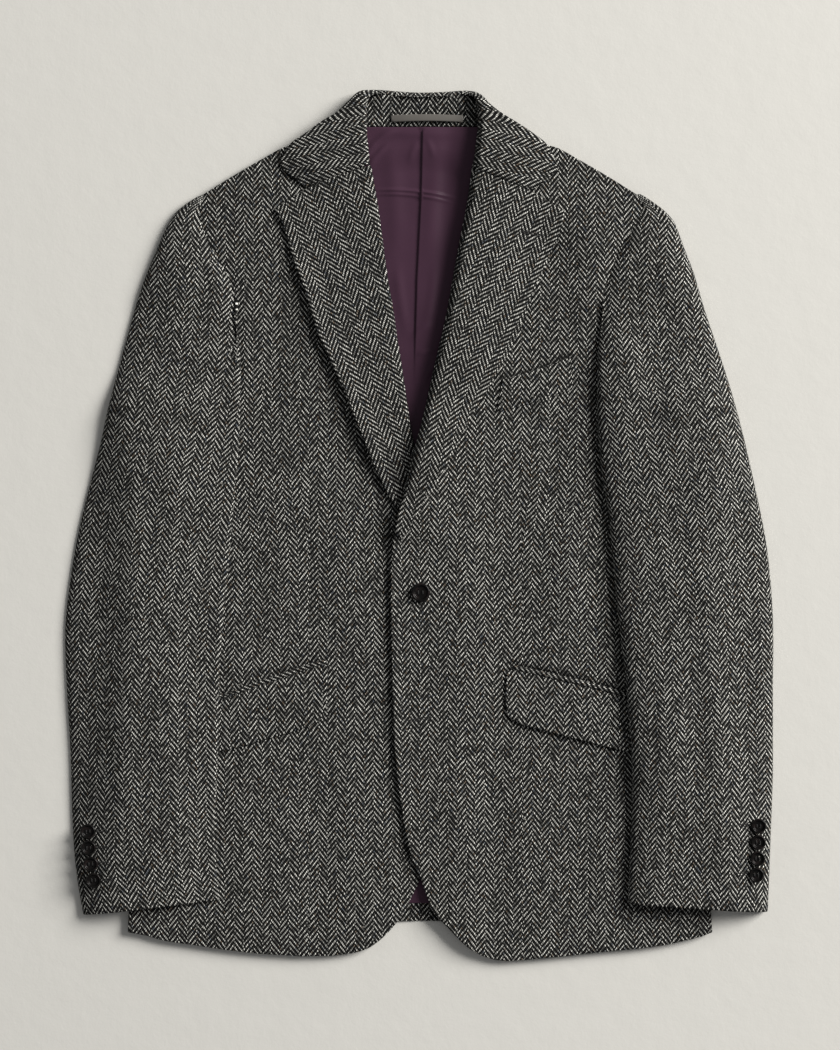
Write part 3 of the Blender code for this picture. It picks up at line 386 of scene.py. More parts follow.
# Soft satin folds of the back lining.
LINING_FOLDS = table(Fold, *(
    (-52, 352, -22, 376, 3, 3.4, 1.5), (-50, 340, -30, 362, 1, 2.8, 1.1),
    (-46, 318.5, 34, 311, 3, 1.5, 1.6), (-44, 314.5, 30, 307, 3, 1.4, 1.2),
    (-30, 372, -24, 250, 3, 9, 1.2), (20, 372, 12, 240, -3, 8, 1.1),
    (-44, 376, 46, 374, -3, 5, 0.9), (-3, 162, 14, 165, 1, 2.6, 0.9),
    (-8, 176, 12, 192, 2, 3.2, 0.6), (3.5, 132, 10, 150, 1, 2.4, 0.6),
    (-22, 250, -12, 180, -1.5, 5, 0.8), (14, 250, 4, 180, 1.5, 4.5, 0.7),
    (-2, 366, -10, 344, -1, 3, 0.5), (6, 368, 13, 348, 1, 3, 0.5),
    (-14, -350, 22, -350, 2, 5, 0.8)))

# Front darts, from the top down to the pocket.
DARTS = {"right": points((94, 57), (96, 0), (98, -60), (99, -132)),
         "left": points((-105.0, 50.0), (-105.0, 0.0), (-104.6, -60.0), (-104.0, -130.0))}
DART_INTAKE = 8.0          # width of the cloth that each one takes in


# ------------------------------------------------------- curves and distances
def mirrored(outline):
    """The same plan points on the other side, in reverse order."""
    return [Point(-p.x, p.y) for p in reversed(outline)]


def blend(low, high, value):
    """A smooth step from 0 below low to 1 above high."""
    t = np.clip((np.asarray(value, float) - low) / (high - low), 0.0, 1.0)
    return t * t * (3.0 - 2.0 * t)


def fade(low, high, value):
    """A smooth step from 1 below low to 0 above high."""
    return 1.0 - blend(low, high, value)


def bell(away, width, power=2):
    """A bump that is 1 at no distance and gone by about twice its width."""
    return np.exp(-(away / width) ** power)


def inside(outline, x, y):
    """Whether places lie inside a closed outline."""
    ring = np.array(outline, float)
    found = np.zeros(np.shape(x), bool)
    for a, b in zip(ring, np.roll(ring, -1, axis=0)):
        if a[1] != b[1]:
            across = a[0] + (b[0] - a[0]) * (y - a[1]) / (b[1] - a[1])
            found ^= ((a[1] > y) != (b[1] > y)) & (x < across)
    return found


def distance(line, x, y):
    """The shortest distance from places to an open line of points."""
    line = np.array(line, float)
    best = np.full(np.shape(x), 1e18)
    for a, b in zip(line[:-1], line[1:]):
        run = b - a
        squared = max(float(run @ run), 1e-12)
        t = np.clip(((x - a[0]) * run[0] + (y - a[1]) * run[1]) / squared, 0.0, 1.0)
        best = np.minimum(best, (x - a[0] - t * run[0]) ** 2 + (y - a[1] - t * run[1]) ** 2)
    return np.sqrt(best)


def outside_by(outline, x, y):
    """How far places lie outside a closed outline, 0 inside it."""
    return np.where(inside(outline, x, y), 0.0, distance(looped(outline), x, y))


def moved_in(line, inset):
    """A line moved sideways to its left by an inset, one for all or one a point."""
    line = np.array(line, float)
    ahead, behind = np.roll(line, -1, axis=0), np.roll(line, 1, axis=0)
    ahead[-1], behind[0] = line[-1], line[0]
    run = ahead - behind
    run /= np.maximum(np.linalg.norm(run, axis=1, keepdims=True), 1e-9)
    by = np.broadcast_to(inset, (len(line),))[:, None]
    return line + by * np.stack([-run[:, 1], run[:, 0]], axis=1)


def looped(outline):
    """An outline with its first point again at its end."""
    return np.vstack([outline, outline[:1]])


def eased(line, passes):
    """A line with its small bumps averaged away, its ends kept."""
    for _ in range(passes):
        line = np.vstack([line[:1], (line[:-2] + 2.0 * line[1:-1] + line[2:]) / 4.0, line[-1:]])
    return line


def smooth_line(line, step, corner=0.62, closed=False, passes=0):
    """A smooth curve through the points, sharp where they turn by more than corner."""
    p = np.array(line, float)
    keep = np.linalg.norm(p - np.roll(p, 1, axis=0), axis=1) > 1e-6
    keep[0] = True if not closed else keep[0]
    p = p[keep]
    n = len(p)
    last = n if closed else n - 1
    run = np.roll(p, -1, axis=0) - p
    lengths = np.maximum(np.linalg.norm(run, axis=1), 1e-9)
    way = run / lengths[:, None]
    before = np.roll(way, 1, axis=0)
    turn = np.arccos(np.clip((way * before).sum(axis=1), -1.0, 1.0))
    weight = lengths[:, None]
    tangent = way * np.roll(weight, 1, axis=0) + before * weight
    tangent /= np.maximum(np.linalg.norm(tangent, axis=1, keepdims=True), 1e-9)
    sharp = turn > corner
    if not closed:
        sharp[0] = sharp[-1] = True
    out, kept = [], [0]
    for i in range(last):
        if sharp[i]:
            kept.append(len(out))
        j = (i + 1) % n
        start = way[i] if sharp[i] else tangent[i]
        end = way[i] if sharp[j] else tangent[j]
        parts = max(1, ceil(lengths[i] / step))
        for t in (k / parts for k in range(parts)):
            out.append((2 * t ** 3 - 3 * t ** 2 + 1) * p[i] + (t ** 3 - 2 * t ** 2 + t)
                       * lengths[i] * start + (3 * t ** 2 - 2 * t ** 3) * p[j]
                       + (t ** 3 - t ** 2) * lengths[i] * end)
    if not closed:
        out.append(p[-1])
    out = np.array(out)
    for a, b in zip(kept, kept[1:] + [len(out) - 1]):
        if passes and b - a > 3:
            out[a:b + 1] = eased(out[a:b + 1], passes)
    return out


def smooth_rows(rows, steps):
    """Rows of numbers with steps - 1 more between each two, on a smooth curve."""
    r = np.array(rows, float)
    r = np.vstack([2 * r[0] - r[1], r, 2 * r[-1] - r[-2]])
    a, b, c, d = r[:-3], r[1:-2], r[2:-1], r[3:]
    t = np.linspace(0.0, 1.0, steps, endpoint=False)[:, None, None]
    out = 0.5 * (2 * b + (c - a) * t + (2 * a - 5 * b + 4 * c - d) * t * t
                 + (3 * b - a - 3 * c + d) * t ** 3)
    return np.vstack([out.transpose(1, 0, 2).reshape(-1, r.shape[1]), r[-2]])


def run_along(path):
    """Length of a path of places from its start to each of them."""
    steps = np.linalg.norm(np.diff(path, axis=0), axis=1)
    return np.concatenate([[0.0], np.cumsum(steps)])


def run_across(grid):
    """Length along each row of a grid of places from its start to each of them."""
    steps = np.linalg.norm(np.diff(grid, axis=1), axis=2)
    return np.concatenate([np.zeros((len(grid), 1)), np.cumsum(steps, axis=1)], axis=1)


def ripple(x, y, scale, seed):
    """A soft uneven height between about -1 and 1, the same on every run."""
    rng = np.random.default_rng(seed)
    total = 0.0
    for _ in range(7):
        angle, phase = rng.uniform(0.0, 2 * pi, 2)
        rate = 2 * pi / (scale * rng.uniform(0.7, 1.7))
        total = total + np.sin(rate * (x * cos(angle) + y * sin(angle)) + phase)
    return total / 3.7


def folded(folds, x, y):
    """Height of a table of folds at places."""
    total = np.zeros(np.shape(x))
    for f in folds:
        run = np.array([f.x1 - f.x0, f.y1 - f.y0])
        reach = float(np.hypot(*run))
        way = run / reach
        t = ((x - f.x0) * way[0] + (y - f.y0) * way[1]) / reach
        bent = f.bow * 4.0 * np.clip(t, 0.0, 1.0) * (1.0 - np.clip(t, 0.0, 1.0))
        off = -(x - f.x0) * way[1] + (y - f.y0) * way[0] - bent
        ends = blend(-0.12, 0.34, t) * fade(0.62, 1.12, t)
        total += f.height * ends * bell(off, f.width)
    return total


SEAM_START = 5             # point of each armhole from which the sleeve is sewn to the front


def armhole_seam(armhole, side):
    """An armhole from where the sleeve's fold opens up to the shoulder."""
    line = smooth_line(armhole[SEAM_START:] + SHOULDER[:1], 3.0, passes=9)
    return line * np.array([side, 1.0])


# Sewn stretch of each armhole, above the sleeve's fold, in the plan of its own side.
ARMHOLES = {"right": armhole_seam(RIGHT_ARMHOLE, 1.0), "left": armhole_seam(LEFT_ARMHOLE, -1.0)}


# -------------------------------------------------------------- layer heights
NECK_Y = 300.0             # above this the panels ride over the collar fall
NECK_RAMP = (2.0, 26.0)                # they come down again this far outside it
BODY = (UNDER_HEM[::-1] + OVER_HEM + SIDE + RIGHT_ARMHOLE + SHOULDER
        + mirrored(SHOULDER) + mirrored(LEFT_ARMHOLE) + mirrored(SIDE))
CHEST_RISE = 4.6           # how far the front climbs to the right armhole's seam
REACH_X, REACH_Y = 350.0, 432.0        # the plan's sampled half width and half length
SAMPLE_STEP = 2.0          # between two samples
SAMPLED_OUTLINES = {"beyond": BODY, "right_flap": RIGHT_FLAP, "left_flap": LEFT_FLAP,
                    "fall": COLLAR_FALL}


def front_base():
    """Underside of the fronts where nothing lifts them."""
    return (cloth_size("back_wall") + cloth_size("seam_gap")
            + cloth_size("lining_wall") + cloth_size("layer_gap"))


def neck_rise(x, y):
    """Lift of every body layer where the collar fall lies beneath it."""
    step = cloth_size("collar_wall") + cloth_size("seam_gap")
    lift = step * fade(*NECK_RAMP, looked_up("fall", x, y))
    return np.where(np.asarray(y) < NECK_Y, 0.0, lift)


def raw_swell(x, y):
    """Soft swells of the body, fading at its edge, and the rise to its right armhole."""
    inner = blend(0.0, 16.0, distance(looped(BODY), x, y))
    chest = (CHEST_RISE * blend(122.0, 170.0, x) * blend(170.0, 215.0, y)
             * fade(280.0, 325.0, y))
    return (folded(BODY_FOLDS, x, y) + 0.45 + 0.45 * ripple(x, y, 62.0, 11)) * inner + chest


@lru_cache(maxsize=None)
def sampled(kind):
    """A smooth height or distance, worked out once on a fine grid over the whole plan."""
    x, y = np.meshgrid(np.arange(-REACH_X, REACH_X + 1.0, SAMPLE_STEP),
                       np.arange(-REACH_Y, REACH_Y + 1.0, SAMPLE_STEP))
    return raw_swell(x, y) if kind == "swell" else outside_by(SAMPLED_OUTLINES[kind], x, y)


def looked_up(kind, x, y):
    """The sampled value at places between the grid's own."""
    grid = sampled(kind)
    x, y = np.broadcast_arrays(np.asarray(x, float), np.asarray(y, float))
    at_x = np.clip((x + REACH_X) / SAMPLE_STEP, 0.0, grid.shape[1] - 1.001)
    at_y = np.clip((y + REACH_Y) / SAMPLE_STEP, 0.0, grid.shape[0] - 1.001)
    i, j = at_x.astype(int), at_y.astype(int)
    s, t = at_x - i, at_y - j
    return ((grid[j, i] * (1 - s) + grid[j, i + 1] * s) * (1 - t)
            + (grid[j + 1, i] * (1 - s) + grid[j + 1, i + 1] * s) * t)


def swell(x, y):
    """Soft swells of the body, shared by all its layers."""
    return looked_up("swell", x, y)


def over_rise(x, y):
    """Lift of the upper front over the lower front and the lower lapel's end."""
    wall, gap = cloth_size("front_wall"), cloth_size("layer_gap")
    lap = fade(30.0, 75.0, x) * fade(70.0, 150.0, y)
    lapel = fade(8.0, 45.0, x) * blend(-28.0, -2.0, y) * fade(84.0, 130.0, y)
    lapel_step = cloth_size("lapel_wall") + cloth_size("lapel_gap") + 0.3
    return (wall + gap) * lap + lapel_step * lapel


def front_under(x, y, upper):
    """Underside of a front: the upper one laps over at the right."""
    return front_base() + neck_rise(x, y) + swell(x, y) + (over_rise(x, y) if upper else 0.0)


def raised(face, wall):
    """A face moved up by a wall."""
    return lambda x, y: face(x, y) + wall


def front_top(x, y, upper):
    """Top face of a front."""
    return front_under(x, y, upper) + cloth_size("front_wall")


def flap_rise(x, y):
    """Lift of the sleeve over a pocket flap and its jet."""
    lift = cloth_size("trim_wall") + cloth_size("layer_gap")
    away = np.where(x > 0.0, looked_up("right_flap", x, y), looked_up("left_flap", x, y))
    return lift * fade(14.0, 40.0, away)


def body_cover(x, y, ramp=(11.0, 28.0)):
    """Height of what lies under a sleeve: the body inside its outline, then the floor."""
    top = front_base() + cloth_size("front_wall") + cloth_size("layer_gap")
    return (top + flap_rise(x, y) + swell(x, y)) * fade(*ramp, looked_up("beyond", x, y))


# -------------------------------------------------------------- mesh building
RIM_RINGS = (0.15, 0.45, 1.0, 2.2)     # rings of points inside a rim, in rim radii
RIM_BULGE = ((0.14, 0.30), (0.5, 0.46), (0.86, 0.30))    # shares: down the wall, out from it
SEWN_RIM = 0.3             # share of a rim's radius that is left where it is sewn down
LINE_STEP = 3.0            # point spacing along the outlines


def in_metres(x, y, z):
    """Places in the jacket's millimetres as an array of metres."""
    return np.stack(np.broadcast_arrays((np.asarray(x, float) - MIDDLE[0]) * MM,
                                        (np.asarray(y, float) - MIDDLE[1]) * MM,
                                        np.asarray(z, float) * MM), axis=-1)


def add_object(name, data):
    """A new object in the scene."""
    made = bpy.data.objects.new(name, data)
    bpy.context.scene.collection.objects.link(made)
    return made


def add_mesh(name, verts, faces, paint, uvs=None):
    """A smooth closed mesh, facing outwards, with one texture coordinate a corner."""
    mesh = bpy.data.meshes.new(name)
    mesh.from_pydata([tuple(v) for v in verts], [], faces)
    if uvs is not None:
        layer = mesh.uv_layers.new(name="Cloth")
        layer.data.foreach_set("uv", np.asarray(uvs, float).ravel())
    shape = bmesh.new()
    shape.from_mesh(mesh)
    bmesh.ops.recalc_face_normals(shape, faces=shape.faces[:])
    shape.to_mesh(mesh)
    shape.free()
    mesh.shade_smooth()
    mesh.materials.append(paint)
    return add_object(name + PIECE, mesh)


def edge_lift(away, radius):
    """How far a rounded rim falls below the cloth's face, away from the edge."""
    near = np.clip(radius - away, 0.0, radius)
    return radius - np.sqrt(np.maximum(radius ** 2 - near ** 2, 0.0))


def plain_grain(x, y):
    """Cloth coordinates of a panel whose columns run from hem to collar."""
    return x, y


def leaning(high, low):
    """Cloth coordinates of a lapel, its columns leaning less towards its lower end."""
    steps = np.arange(-60.0, 401.0, 2.0)
    lean = np.radians(low + (high - low) * blend(50.0, 175.0, steps))
    run = np.concatenate([[0.0], np.cumsum(2.0 * np.tan(lean))[:-1]])
    climb = np.concatenate([[0.0], np.cumsum(2.0 / np.cos(lean))[:-1]])

    def grain(x, y):
        """Across and along the columns at places of the plan."""
        tilt = np.interp(y, steps, lean)
        off = x - np.interp(y, steps, run)
        return off * np.cos(tilt), np.interp(y, steps, climb) + off * np.sin(tilt)

    return grain


def turned(x0, y0, angle):
    """Cloth coordinates turned by an angle in degrees, a column's middle at a place."""
    c, s = cos(radians(angle)), sin(radians(angle))
    half = size("jacket_weave", "column") / 2
    return lambda x, y: ((x - x0) * c - (y - y0) * s + half, (x - x0) * s + (y - y0) * c)


def plan_points(rim, pitch, lines, fine):
    """Plan points of a panel: rim, rings beside it, lines, and a hexagonal filling."""
    edge = looped(rim)
    radius = cloth_size("rim")
    loose = []
    for inset in (share * radius for share in RIM_RINGS):
        ring = moved_in(np.vstack([rim[-1:], rim, rim[:1]]), inset)[1:-1]
        keep = inside(rim, ring[:, 0], ring[:, 1])
        keep &= distance(edge, ring[:, 0], ring[:, 1]) > 0.93 * inset
        loose.append(ring[keep])
    strung = []
    for line in lines:
        away = distance(edge, line[:, 0], line[:, 1])
        keep = inside(rim, line[:, 0], line[:, 1]) & (away > 2.6 * radius)
        strung.append((line, keep))
    low, high = rim.min(axis=0), rim.max(axis=0)
    filled = []
    for step, zone in ((pitch, None), *fine):
        rows = np.arange(low[1] + 0.5 * step, high[1], 0.87 * step)
        cols = np.arange(low[0], high[0], step)
        x = cols[None, :] + np.where(np.arange(len(rows)) % 2, 0.5 * step, 0.0)[:, None]
        y = np.broadcast_to(rows[:, None], x.shape)
        x, y = x.ravel(), y.ravel()
        keep = inside(rim, x, y)
        if zone is not None:
            keep &= inside(zone, x, y)
        else:
            for _, other in fine:
                keep &= ~inside(other, x, y)
        x, y = x[keep], y[keep]
        keep = distance(edge, x, y) > RIM_RINGS[-1] * radius + 0.45 * step
        for line in lines:
            keep &= distance(line, x, y) > 0.45 * step
        filled.append(np.stack([x[keep], y[keep]], axis=1))
    return loose, strung, filled


def laid_panel(name, outline, top, under, paint, pitch=None, grain=plain_grain, lines=(),
               fine=(), split=None, sewn=None):
    """A cloth wall over a plan outline, between top(x, y) and under(x, y).

    Its rim is rounded, less so along the line sewn, where another piece joins it.
    split(x, y) is how far the grain is shifted, in mm, for a face with that middle.
    """
    pitch = pitch or cloth_size("pitch")
    rim = np.asarray(outline, float)
    area = 0.5 * np.sum(rim[:, 0] * np.roll(rim[:, 1], -1) - np.roll(rim[:, 0], -1) * rim[:, 1])
    rim = rim if area > 0.0 else rim[::-1]
    loose, strung, filled = plan_points(rim, pitch, lines, fine)
    plan, edges = [rim], [(i, (i + 1) % len(rim)) for i in range(len(rim))]
    count = len(rim)
    for line, keep in strung:
        for i in range(len(line)):
            if keep[i] and i and keep[i - 1]:
                edges.append((count + keep[:i].sum() - 1, count + keep[:i].sum()))
        plan.append(line[keep])
        count += int(keep.sum())
    plan = np.vstack(plan + loose + filled)
    edges = [(int(a), int(b)) for a, b in edges]
    flat, _, cells, *_ = delaunay_2d_cdt([Vector(p) for p in plan], edges, [], 1, 1e-4)
    x, y = np.array([p.x for p in flat]), np.array([p.y for p in flat])
    away = distance(looped(rim), x, y)
    high, low = top(x, y), under(x, y)
    radius = np.minimum(cloth_size("rim"), 0.46 * (high - low))
    if sewn is not None:
        radius = radius * (SEWN_RIM + (1.0 - SEWN_RIM) * blend(2.0, 7.0, distance(sewn, x, y)))
    drop = edge_lift(away, radius)
    verts = np.vstack([in_metres(x, y, low + drop), in_metres(x, y, high - drop)])
    n = len(flat)
    faces = [tuple(reversed(c)) for c in cells] + [tuple(i + n for i in c) for c in cells]
    used = {(a, b) for cell in cells for a, b in zip(cell, list(cell[1:]) + [cell[0]])}
    faces += [(a, b, b + n, a + n) for a, b in sorted(used) if (b, a) not in used]
    u, v = grain(x, y)
    base = np.stack([u, v], axis=1) * MM
    corners = np.concatenate([np.array(f) for f in faces]) % n
    uvs = base[corners]
    if split is not None:
        sizes = np.array([len(f) for f in faces])
        starts = np.concatenate([[0], np.cumsum(sizes)[:-1]])
        middle_x = np.add.reduceat(x[corners], starts) / sizes
        middle_y = np.add.reduceat(y[corners], starts) / sizes
        uvs[:, 0] += np.repeat(split(middle_x, middle_y), sizes) * MM
    return add_mesh(name, verts, faces, paint, uvs)


def shell(name, outer, wall, sign, paint, uv, bulge=None):
    """A cloth wall under a grid of places, its rims rounded by rings between the faces.

    bulge is the share of that rounding at each place of the grid.
    """
    bulge = np.ones(outer.shape[:2]) if bulge is None else bulge
    wall = np.broadcast_to(wall, outer.shape[:2])
    down = np.gradient(outer, axis=0)
    across = np.gradient(outer, axis=1)
    normal = np.cross(across, down) * sign
    normal /= np.maximum(np.linalg.norm(normal, axis=2, keepdims=True), 1e-9)
    inner = outer - normal * wall[..., None]
    rows, columns = outer.shape[:2]
    edge = ([(i, 0) for i in range(rows)] + [(rows - 1, j) for j in range(1, columns)]
            + [(i, columns - 1) for i in range(rows - 2, -1, -1)]
            + [(0, j) for j in range(columns - 2, 0, -1)])
    rings = []
    for share, out in RIM_BULGE:
        ring = []
        for i, j in edge:
            away = np.zeros(3)
            if i in (0, rows - 1):
                away += outer[i, j] - outer[1 if i == 0 else rows - 2, j]
            if j in (0, columns - 1):
                away += outer[i, j] - outer[i, 1 if j == 0 else columns - 2]
            away -= normal[i, j] * (away @ normal[i, j])
            away /= max(np.linalg.norm(away), 1e-9)
            ring.append(outer[i, j] * (1 - share) + inner[i, j] * share
                        + away * wall[i, j] * out * bulge[i, j])
        rings.append(ring)
    half, loop = rows * columns, len(edge)
    verts = np.vstack([outer.reshape(-1, 3), inner.reshape(-1, 3), np.array(rings).reshape(-1, 3)])
    faces, base = [], np.concatenate([uv.reshape(-1, 2), uv.reshape(-1, 2)]
                                     + [np.array([uv[i, j] for i, j in edge])] * 3)
    for i in range(rows - 1):
        for j in range(columns - 1):
            a, b = i * columns + j, (i + 1) * columns + j
            faces += [(a, b, b + 1, a + 1), (a + 1 + half, b + 1 + half, b + half, a + half)]
    where = [i * columns + j for i, j in edge]
    levels = [where] + [[2 * half + k * loop + m for m in range(loop)] for k in range(3)]
    levels.append([w + half for w in where])
    for first, second in zip(levels, levels[1:]):
        for m in range(loop):
            nxt = (m + 1) % loop
            faces.append((first[m], first[nxt], second[nxt], second[m]))
    uvs = base[np.concatenate([np.array(f) for f in faces])] * MM
    return add_mesh(name, in_metres(*verts.T), faces, paint, uvs)


def spaced_path(path, count):
    """count places spaced evenly along a path of places."""
    along = run_along(path)
    at = np.linspace(0.0, along[-1], count)
    return np.stack([np.interp(at, along, path[:, k]) for k in range(path.shape[1])], axis=1)


# -------------------------------------------------------------------- sleeves
CAP_LIP = 34.0             # how far the sleeve turns under behind its head
FOLD_Y = (140.0, 222.0)    # its inner fold opens into the armhole seam over this stretch
SLEEVE_ROUND = {1.0: (4.6, 5.2), -1.0: (2.5, 2.5)}    # squareness at the inner and outer fold
UNDER_EDGE = {1.0: 4.4, -1.0: 2.0}     # plan width and height of the turn beneath a fold
SEWN_FROM = {1.0: (198.0, 212.0, 0.35), -1.0: (184.0, 202.0, -0.7)}    # rows, and the tuck
BACK_ARMHOLE_X = 210.0     # the lip stops short of the back panel's armhole
NARROW = 60.0              # a sleeve is lower where it is less wide than this
SLEEVE_RAMP = (14.0, 62.0)             # how it comes down beside the body
HEAD_LEAVES_Y = (120.0, 225.0)         # its outer half leaves the body over this stretch
HEAD_CLIMB = 5.5           # how far the head stands above the armhole seam
SEAM_SUNK = 0.75           # how deep the seam presses it into the front
ROPE = 0.8                 # the seam allowance's ridge beside the seam
SECTION_STEPS = 67         # places across the top before they are spaced evenly
LIP_COLUMNS, TOP_COLUMNS, BACK_COLUMNS = 8, 47, 12    # grid columns: inner lip, top, outer lip
MIDDLE_COLUMN = LIP_COLUMNS + TOP_COLUMNS // 2


def under_sleeve_height(x, y):
    """What a sleeve's underside rests on: the body, then the floor by the armhole."""
    return body_cover(x, y) * fade(106.0, 140.0, y)


def sleeve_lips(row):
    """How closed the inner fold is, and how far the cloth turns under on each side."""
    fold = float(fade(*FOLD_Y, row.inner_y))
    lip = cloth_size("sleeve_lip")
    outer = lip + (CAP_LIP - lip) * float(blend(90.0, 150.0, row.outer_y))
    if row.outer_y > UNDERARM_Y:
        outer = min(outer, row.outer_x - 0.1 * (row.outer_x - row.inner_x) - BACK_ARMHOLE_X)
    return fold, lip * float(blend(0.6, 1.0, fold)), max(outer, 1.5)


def sleeve_section(row, side):
    """Outer path of the top sleeve across one station, from lip to lip."""
    fold, inner_lip, outer_lip = sleeve_lips(row)
    inner = np.array([side * row.inner_x, row.inner_y])
    outer = np.array([side * row.outer_x, row.outer_y])
    width = float(np.hypot(*(outer - inner)))
    way = (outer - inner) / width
    depth = cloth_size("sleeve_depth" if side > 0.0 else "low_sleeve_depth")
    full = min(1.0, width / NARROW)
    deep = depth * full ** 0.6
    edge = min(UNDER_EDGE[side], 0.2 * width)

    def plan(u):
        """Places a distance out from the inner edge."""
        return inner[0] + way[0] * u, inner[1] + way[1] * u

    u = width * 0.5 * (1.0 - np.cos(np.linspace(0.0, pi, SECTION_STEPS)))
    share = np.abs(2.0 * u / width - 1.0)
    inner_power, outer_power = SLEEVE_ROUND[side]
    power = np.where(u < width / 2, inner_power, outer_power)
    pillow = np.clip(1.0 - share ** power, 0.0, 1.0) ** 0.5
    if side < 0.0:
        pressed = 0.12 * np.clip(u / 2.0, 0.0, 1.0) ** 0.5 + 0.88 * blend(0.0, 1.0, 1.0 - share)
        pillow = np.where(u < width / 2, pressed, pillow)
    x, y = plan(u)
    below = body_cover(x, y, SLEEVE_RAMP)
    below *= 1.0 - blend(*HEAD_LEAVES_Y, y) * blend(0.0, 0.5, u / width)
    relief = folded(SLEEVE_FOLDS, x, y) + 0.5 * ripple(x, y, 46.0, 5)
    relief = relief * blend(0.0, 18.0, np.minimum(u, width - u))
    seam = (front_base() + cloth_size("front_wall") + neck_rise(x, y)
            + swell(x, y)) - SEAM_SUNK
    middle = len(u) // 2
    lift = max(float(seam[middle]) + HEAD_CLIMB * full - float(below[middle]) - deep, 0.0)
    lift *= float(blend(190.0, 215.0, row.inner_y))
    folded_top = below + edge + (deep + lift - edge) * pillow
    rise = 1.0 - (1.0 - np.minimum(2.0 * u / width, 1.0)) ** 2.3
    sewn_top = seam + (folded_top[middle] - seam) * rise
    sewn_top += ROPE * min(1.0, width / 50.0) * blend(0.0, 6.0, u) * fade(9.0, 26.0, u)
    open_share = (1.0 - fold) * fade(0.36, 0.5, u / width)
    top = folded_top * (1.0 - open_share) + sewn_top * open_share + relief
    path = [np.stack([x, y, top], axis=1)]
    angle = np.linspace(0.0, pi / 2, 7)[:-1]
    if fold > 0.02:
        base = float(body_cover(*plan(np.array([edge])))[0])
        lip = edge + inner_lip * np.linspace(1.0, 0.0, 7)[:-1]
        x, y = plan(lip)
        flat = np.stack([x, y, body_cover(x, y)], axis=1)
        u = edge * (1.0 - np.sin(angle))
        x, y = plan(u)
        start = float(top[0])
        curl = np.stack([x, y, base + (start - base) * (1.0 - np.cos(angle))], axis=1)
        curl = curl * fold + np.array([*inner, start]) * (1.0 - fold)
        path = [flat * fold + np.array([*inner, start]) * (1.0 - fold), curl] + path
    base = float(under_sleeve_height(*plan(np.array([width - edge])))[0])
    x, y = plan(width - edge * (1.0 - np.cos(angle[1:])))
    end = float(top[-1])
    path.append(np.stack([x, y, end + (base - end) * np.sin(angle[1:])], axis=1))
    x, y = plan(width - edge - outer_lip * np.linspace(0.0, 1.0, 8))
    path.append(np.stack([x, y, under_sleeve_height(x, y)], axis=1))
    front, back = (path[:-3] or [np.array([[*inner, top[0]]])]), path[-2:]
    over = path[-3]
    parts = [spaced_path(np.vstack(front + [over[:1]]), LIP_COLUMNS + 1)[:-1],
             spaced_path(over, TOP_COLUMNS),
             spaced_path(np.vstack([over[-1:]] + back), BACK_COLUMNS + 1)[1:]]
    return np.vstack(parts)


def build_sleeve(name, rows, side, cloth):
    """Top sleeve, and the under sleeve that closes it along two hidden seams."""
    rows = eased(smooth_rows(rows, 8), 14)
    seam = ARMHOLES[name] * np.array([side, 1.0])
    start, full, tuck = SEWN_FROM[side]
    sewn = blend(start, full, rows[:, 1])
    rows[:, 0] = (rows[:, 0] * (1.0 - sewn)
                  + (np.interp(rows[:, 1], seam[:, 1], seam[:, 0]) + tuck) * sewn)
    grid = np.array([sleeve_section(SleeveRow(*row), side) for row in rows])
    wall = cloth_size("sleeve_wall")
    along = run_across(grid)
    along -= along[:, MIDDLE_COLUMN][:, None]
    down = -run_along(grid[:, MIDDLE_COLUMN])
    uv = np.stack([along, np.broadcast_to(down[:, None], along.shape)], axis=2)
    bulge = np.ones(grid.shape[:2])
    bulge[:, 0] = 1.0 - 0.85 * blend(150.0, 200.0, rows[:, 1])
    bulge[0] = 0.25
    top = shell("sleeve_top_" + name, grid, wall, -side, cloth, uv, bulge)
    inner_side, outer_side = [], []
    gap = cloth_size("seam_gap") + 0.2
    for row in rows[::4]:
        inner, outer = np.array(row[:2]), np.array(row[2:])
        way = (outer - inner) / np.hypot(*(outer - inner))
        _, inner_lip, outer_lip = sleeve_lips(SleeveRow(*row))
        if row[1] < UNDERARM_Y - 4.0:
            inner_side.append(inner + way * (UNDER_EDGE[side] + inner_lip + gap))
        if row[3] < 262.0:
            outer_side.append(outer - way * (UNDER_EDGE[side] + outer_lip + gap))
    plan = np.vstack([outer_side, inner_side[::-1], UNDER_ARMHOLE]) * np.array([side, 1.0])
    under = laid_panel("sleeve_under_" + name, smooth_line(plan, 5.0, closed=True),
                       raised(under_sleeve_height, wall), under_sleeve_height, cloth,
                       pitch=8.5)
    return [top, under]


# --------------------------------------------------------------------- collar
LIFT_FADES = 92.0          # how far from its roll a leaf comes down on what it lies on
LEAF_THINS = 1.1           # how much thinner the pressed leaf is at its free edge
COLLAR_LEAN = 12.0         # degrees between the leaf's columns and straight across
COLLAR_COLUMNS = 40        # grid columns from the roll out and under
COLLAR_EDGE = 5.0          # radius of its outer edge where it turns under
ROLL_TURNS = (4.2, 6.0)    # width of its turn along the roll, on the left and on the right
LEAF_DROP = 3.6            # how far the roll's inner edge turns down beside a whole leaf


def collar_height(x, y):
    """Top face of the collar: over the fronts at the sides, over the stand behind."""
    wall, gap = cloth_size("collar_wall"), cloth_size("layer_gap")
    behind = wall + cloth_size("seam_gap") + wall + gap + wall + 0.6
    side = front_top(x, y, False) + gap + wall + 0.3
    share = np.where(y > 380.0, blend(43.0, 53.0, np.abs(x)), 1.0)
    return behind + (side - behind) * share


